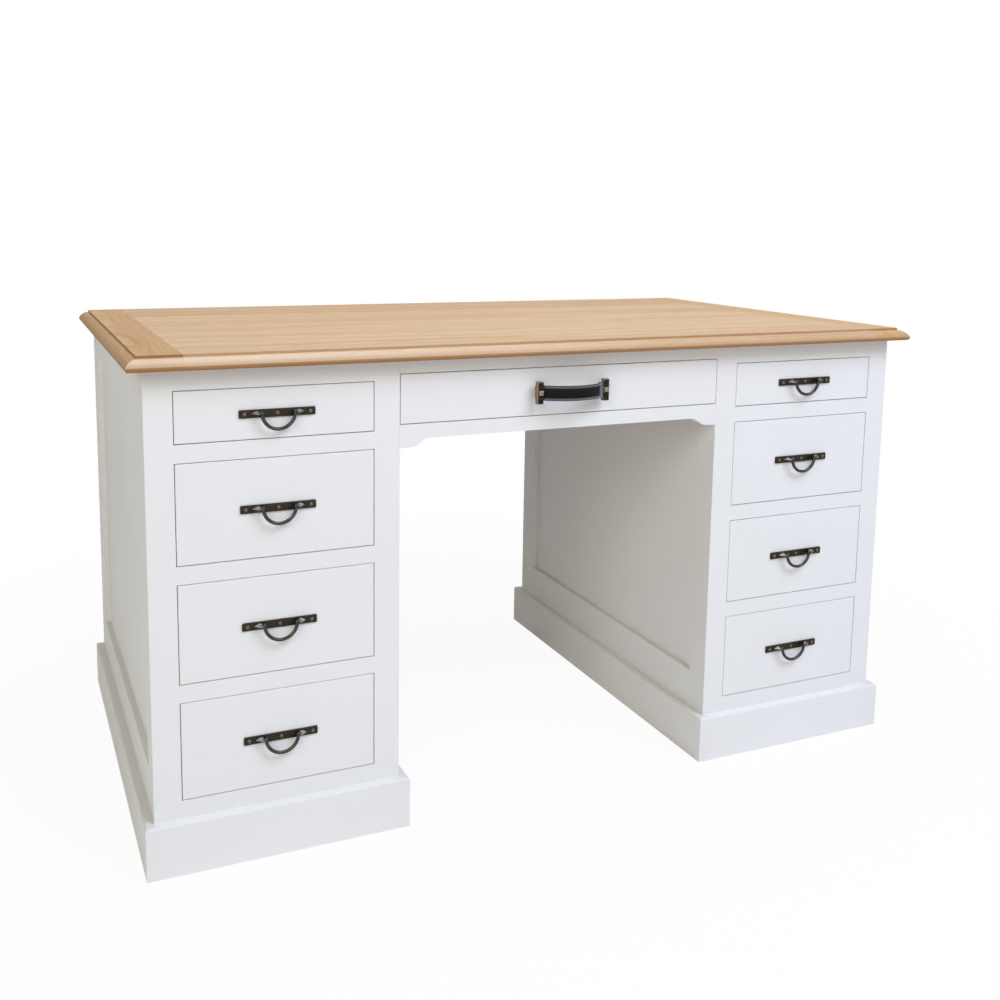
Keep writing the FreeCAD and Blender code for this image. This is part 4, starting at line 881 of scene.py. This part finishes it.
# Aged bronze: brown-black on the faces, rubbed to copper on the outer sides and to gold on every
# eased edge, in patches about 3 mm across.
aged_bronze = new_material("aged_bronze")
place = add_node(aged_bronze, "ShaderNodeTexCoord")
patches = add_node(aged_bronze, "ShaderNodeTexNoise",
                   {"Scale": 1 / 0.003, "Detail": 4, "Roughness": 0.6},
                   {"Vector": place.outputs["Object"]})
facing = add_node(aged_bronze, "ShaderNodeVectorMath", links={0: place.outputs["Normal"]},
                  operation="ABSOLUTE")
facings = add_node(aged_bronze, "ShaderNodeSeparateXYZ", links={0: facing.outputs["Vector"]})
squarest = add_node(aged_bronze, "ShaderNodeMath",
                    links={0: facings.outputs[0], 1: facings.outputs[1]}, operation="MAXIMUM")
square = add_node(aged_bronze, "ShaderNodeMath",
                  links={0: squarest.outputs[0], 1: facings.outputs[2]}, operation="MAXIMUM")
eased = add_node(aged_bronze, "ShaderNodeMapRange",
                 {"From Min": 0.99, "From Max": 0.86}, {"Value": square.outputs[0]})
wear_and_sheen = add_node(aged_bronze, "ShaderNodeMapRange",
                {"From Min": 0.35, "From Max": 0.6, "To Min": 0.35, "To Max": 1.0},
                {"Value": patches.outputs["Fac"]})
gold_share = add_node(aged_bronze, "ShaderNodeMath",
                      links={0: eased.outputs[0], 1: wear_and_sheen.outputs[0]}, operation="MULTIPLY")
copper_share = add_node(aged_bronze, "ShaderNodeMath",
                        links={0: facings.outputs[0], 1: wear_and_sheen.outputs[0]}, operation="MULTIPLY")
patina = add_node(aged_bronze, "ShaderNodeMix", {6: linear("#231f1c"), 7: linear("#3d352f")},
                  {0: patches.outputs["Fac"]}, data_type="RGBA")
coppery = add_node(aged_bronze, "ShaderNodeMix", {7: linear("#a08a78")},
                   {0: copper_share.outputs[0], 6: patina.outputs[2]}, data_type="RGBA")
tone = add_node(aged_bronze, "ShaderNodeMix", {7: linear("#b39a78")},
                {0: gold_share.outputs[0], 6: coppery.outputs[2]}, data_type="RGBA")
skin = add_node(aged_bronze, "ShaderNodeBump", {"Strength": 0.2, "Distance": 0.0002},
                {"Height": patches.outputs["Fac"]})
feed(aged_bronze, aged_bronze.node_tree.nodes["Principled BSDF"],
     {"Metallic": 1, "Roughness": 0.42},
     {"Base Color": tone.outputs[2], "Normal": skin.outputs["Normal"]})
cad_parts["strap_pull_brackets"].material_slots[0].material = aged_bronze

# The square studs are cast brass, tumbled to a satin cream gold.
satin_brass = new_material("tumbled_brass")
place = add_node(satin_brass, "ShaderNodeTexCoord")
casting = add_node(satin_brass, "ShaderNodeTexNoise", {"Scale": 1 / 0.002, "Detail": 3},
                   {"Vector": place.outputs["Object"]})
tone = add_node(satin_brass, "ShaderNodeMix", {6: linear("#a6967f"), 7: linear("#80715e")},
                {0: casting.outputs["Fac"]}, data_type="RGBA")
skin = add_node(satin_brass, "ShaderNodeBump", {"Strength": 0.25, "Distance": 0.0002},
                {"Height": casting.outputs["Fac"]})
feed(satin_brass, satin_brass.node_tree.nodes["Principled BSDF"],
     {"Metallic": 1, "Roughness": 0.45},
     {"Base Color": tone.outputs[2], "Normal": skin.outputs["Normal"]})
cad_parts["strap_pull_studs"].material_slots[0].material = satin_brass


# Floor, light and camera: a pale studio with three lamps. The floor keeps a faint shadow of the
# desk, and the camera sees floor and backdrop as white.

bpy.ops.object.select_all(action="DESELECT")
bpy.ops.mesh.primitive_plane_add(size=30, location=(0, 0, 0))
floor = bpy.context.active_object
floor.name = "studio_floor"
studio_floor = new_material("studio_floor")
shader = studio_floor.node_tree.nodes["Principled BSDF"]
feed(studio_floor, shader,
     {"Base Color": linear("#faf9f7"), "Roughness": 0.9, "Specular IOR Level": 0.0})
place = add_node(studio_floor, "ShaderNodeTexCoord")
reach = add_node(studio_floor, "ShaderNodeVectorMath", links={0: place.outputs["Object"]},
                 operation="LENGTH")
near = add_node(studio_floor, "ShaderNodeMapRange",
                {"From Min": 0.7, "From Max": 1.6, "To Min": 0.06, "To Max": 0.0},
                {"Value": reach.outputs["Value"]})
path = add_node(studio_floor, "ShaderNodeLightPath")
seen = add_node(studio_floor, "ShaderNodeMath", links={0: path.outputs["Is Camera Ray"],
                                                       1: path.outputs["Is Glossy Ray"]},
                operation="MAXIMUM")
kept = add_node(studio_floor, "ShaderNodeMath", {0: 1.0}, {1: near.outputs[0]},
                operation="SUBTRACT")
white_share = add_node(studio_floor, "ShaderNodeMath",
                       links={0: seen.outputs[0], 1: kept.outputs[0]}, operation="MULTIPLY")
white = add_node(studio_floor, "ShaderNodeEmission", {"Color": (1, 1, 1, 1), "Strength": 1.0})
mixed = add_node(studio_floor, "ShaderNodeMixShader",
                 links={0: white_share.outputs[0], 1: shader.outputs[0], 2: white.outputs[0]})
studio_floor.node_tree.links.new(mixed.outputs[0],
                                 studio_floor.node_tree.nodes["Material Output"].inputs["Surface"])
floor.data.materials.append(studio_floor)

world = bpy.data.worlds.new("studio")
bpy.context.scene.world = world
world.use_nodes = True
backdrop = world.node_tree.nodes["Background"]
backdrop.inputs["Color"].default_value = linear("#fdf9e8")
backdrop.inputs["Strength"].default_value = 0.156
path = add_node(world, "ShaderNodeLightPath")
seen = add_node(world, "ShaderNodeMath", links={0: path.outputs["Is Camera Ray"],
                                                1: path.outputs["Is Glossy Ray"]},
                operation="MAXIMUM")
seen_white = add_node(world, "ShaderNodeBackground", {"Color": (1, 1, 1, 1), "Strength": 1.0})
mixed = add_node(world, "ShaderNodeMixShader",
                 links={0: seen.outputs[0], 1: backdrop.outputs[0], 2: seen_white.outputs[0]})
world.node_tree.links.new(mixed.outputs[0], world.node_tree.nodes["World Output"].inputs["Surface"])

# a cool key lamp from the upper right, a warm reflector from the left, and a small lamp overhead
for name, spot, aim, width, depth, power, colour in (
        ("softbox_upper_right", (1.7, -3.0, 4.2), 0.4, 3.0, 2.4, 180, (0.74, 0.805, 1.0)),
        ("reflector_front_left", (-3.2, -3.4, 2.8), 0.4, 2.8, 2.2, 72, (1.0, 0.945, 0.816)),
        ("softbox_overhead", (0, 0.35, 3.0), 0.78, 1.4, 1.0, 21, (1.0, 0.98, 0.95))):
    bpy.ops.object.light_add(type="AREA", location=spot)
    lamp = bpy.context.active_object
    lamp.name = name
    lamp.data.shape = "RECTANGLE"
    lamp.data.size = width
    lamp.data.size_y = depth
    lamp.data.energy = power
    lamp.data.color = colour
    towards_desk = Vector((0, 0, aim)) - lamp.location
    lamp.rotation_euler = towards_desk.to_track_quat("-Z", "Y").to_euler()

CAMERA_PLACE = (-0.8656, -1.9608, 0.9782)
AZIMUTH = math.radians(-23.72)
ELEVATION = math.radians(7.89)
ROLL = math.radians(0.755)
SENSOR_WIDTH = 36
FOCAL_SHARE = 1.1138
back = Vector((math.sin(AZIMUTH) * math.cos(ELEVATION), -math.cos(AZIMUTH) * math.cos(ELEVATION),
               math.sin(ELEVATION)))
level_right = Vector((math.cos(AZIMUTH), math.sin(AZIMUTH), 0))
level_up = back.cross(level_right)
right = level_right * math.cos(ROLL) + level_up * math.sin(ROLL)
up = back.cross(right)
camera_data = bpy.data.cameras.new("photo_view")
camera = bpy.data.objects.new("photo_view", camera_data)
bpy.context.scene.collection.objects.link(camera)
camera.matrix_world = Matrix.Translation(CAMERA_PLACE) @ Matrix(
    (right, up, back)).transposed().to_4x4()
camera_data.sensor_width = SENSOR_WIDTH
camera_data.lens = SENSOR_WIDTH * FOCAL_SHARE
camera_data.shift_x = 0.0241
camera_data.shift_y = -0.1308
bpy.context.scene.camera = camera
bpy.context.scene.view_settings.view_transform = "Standard"
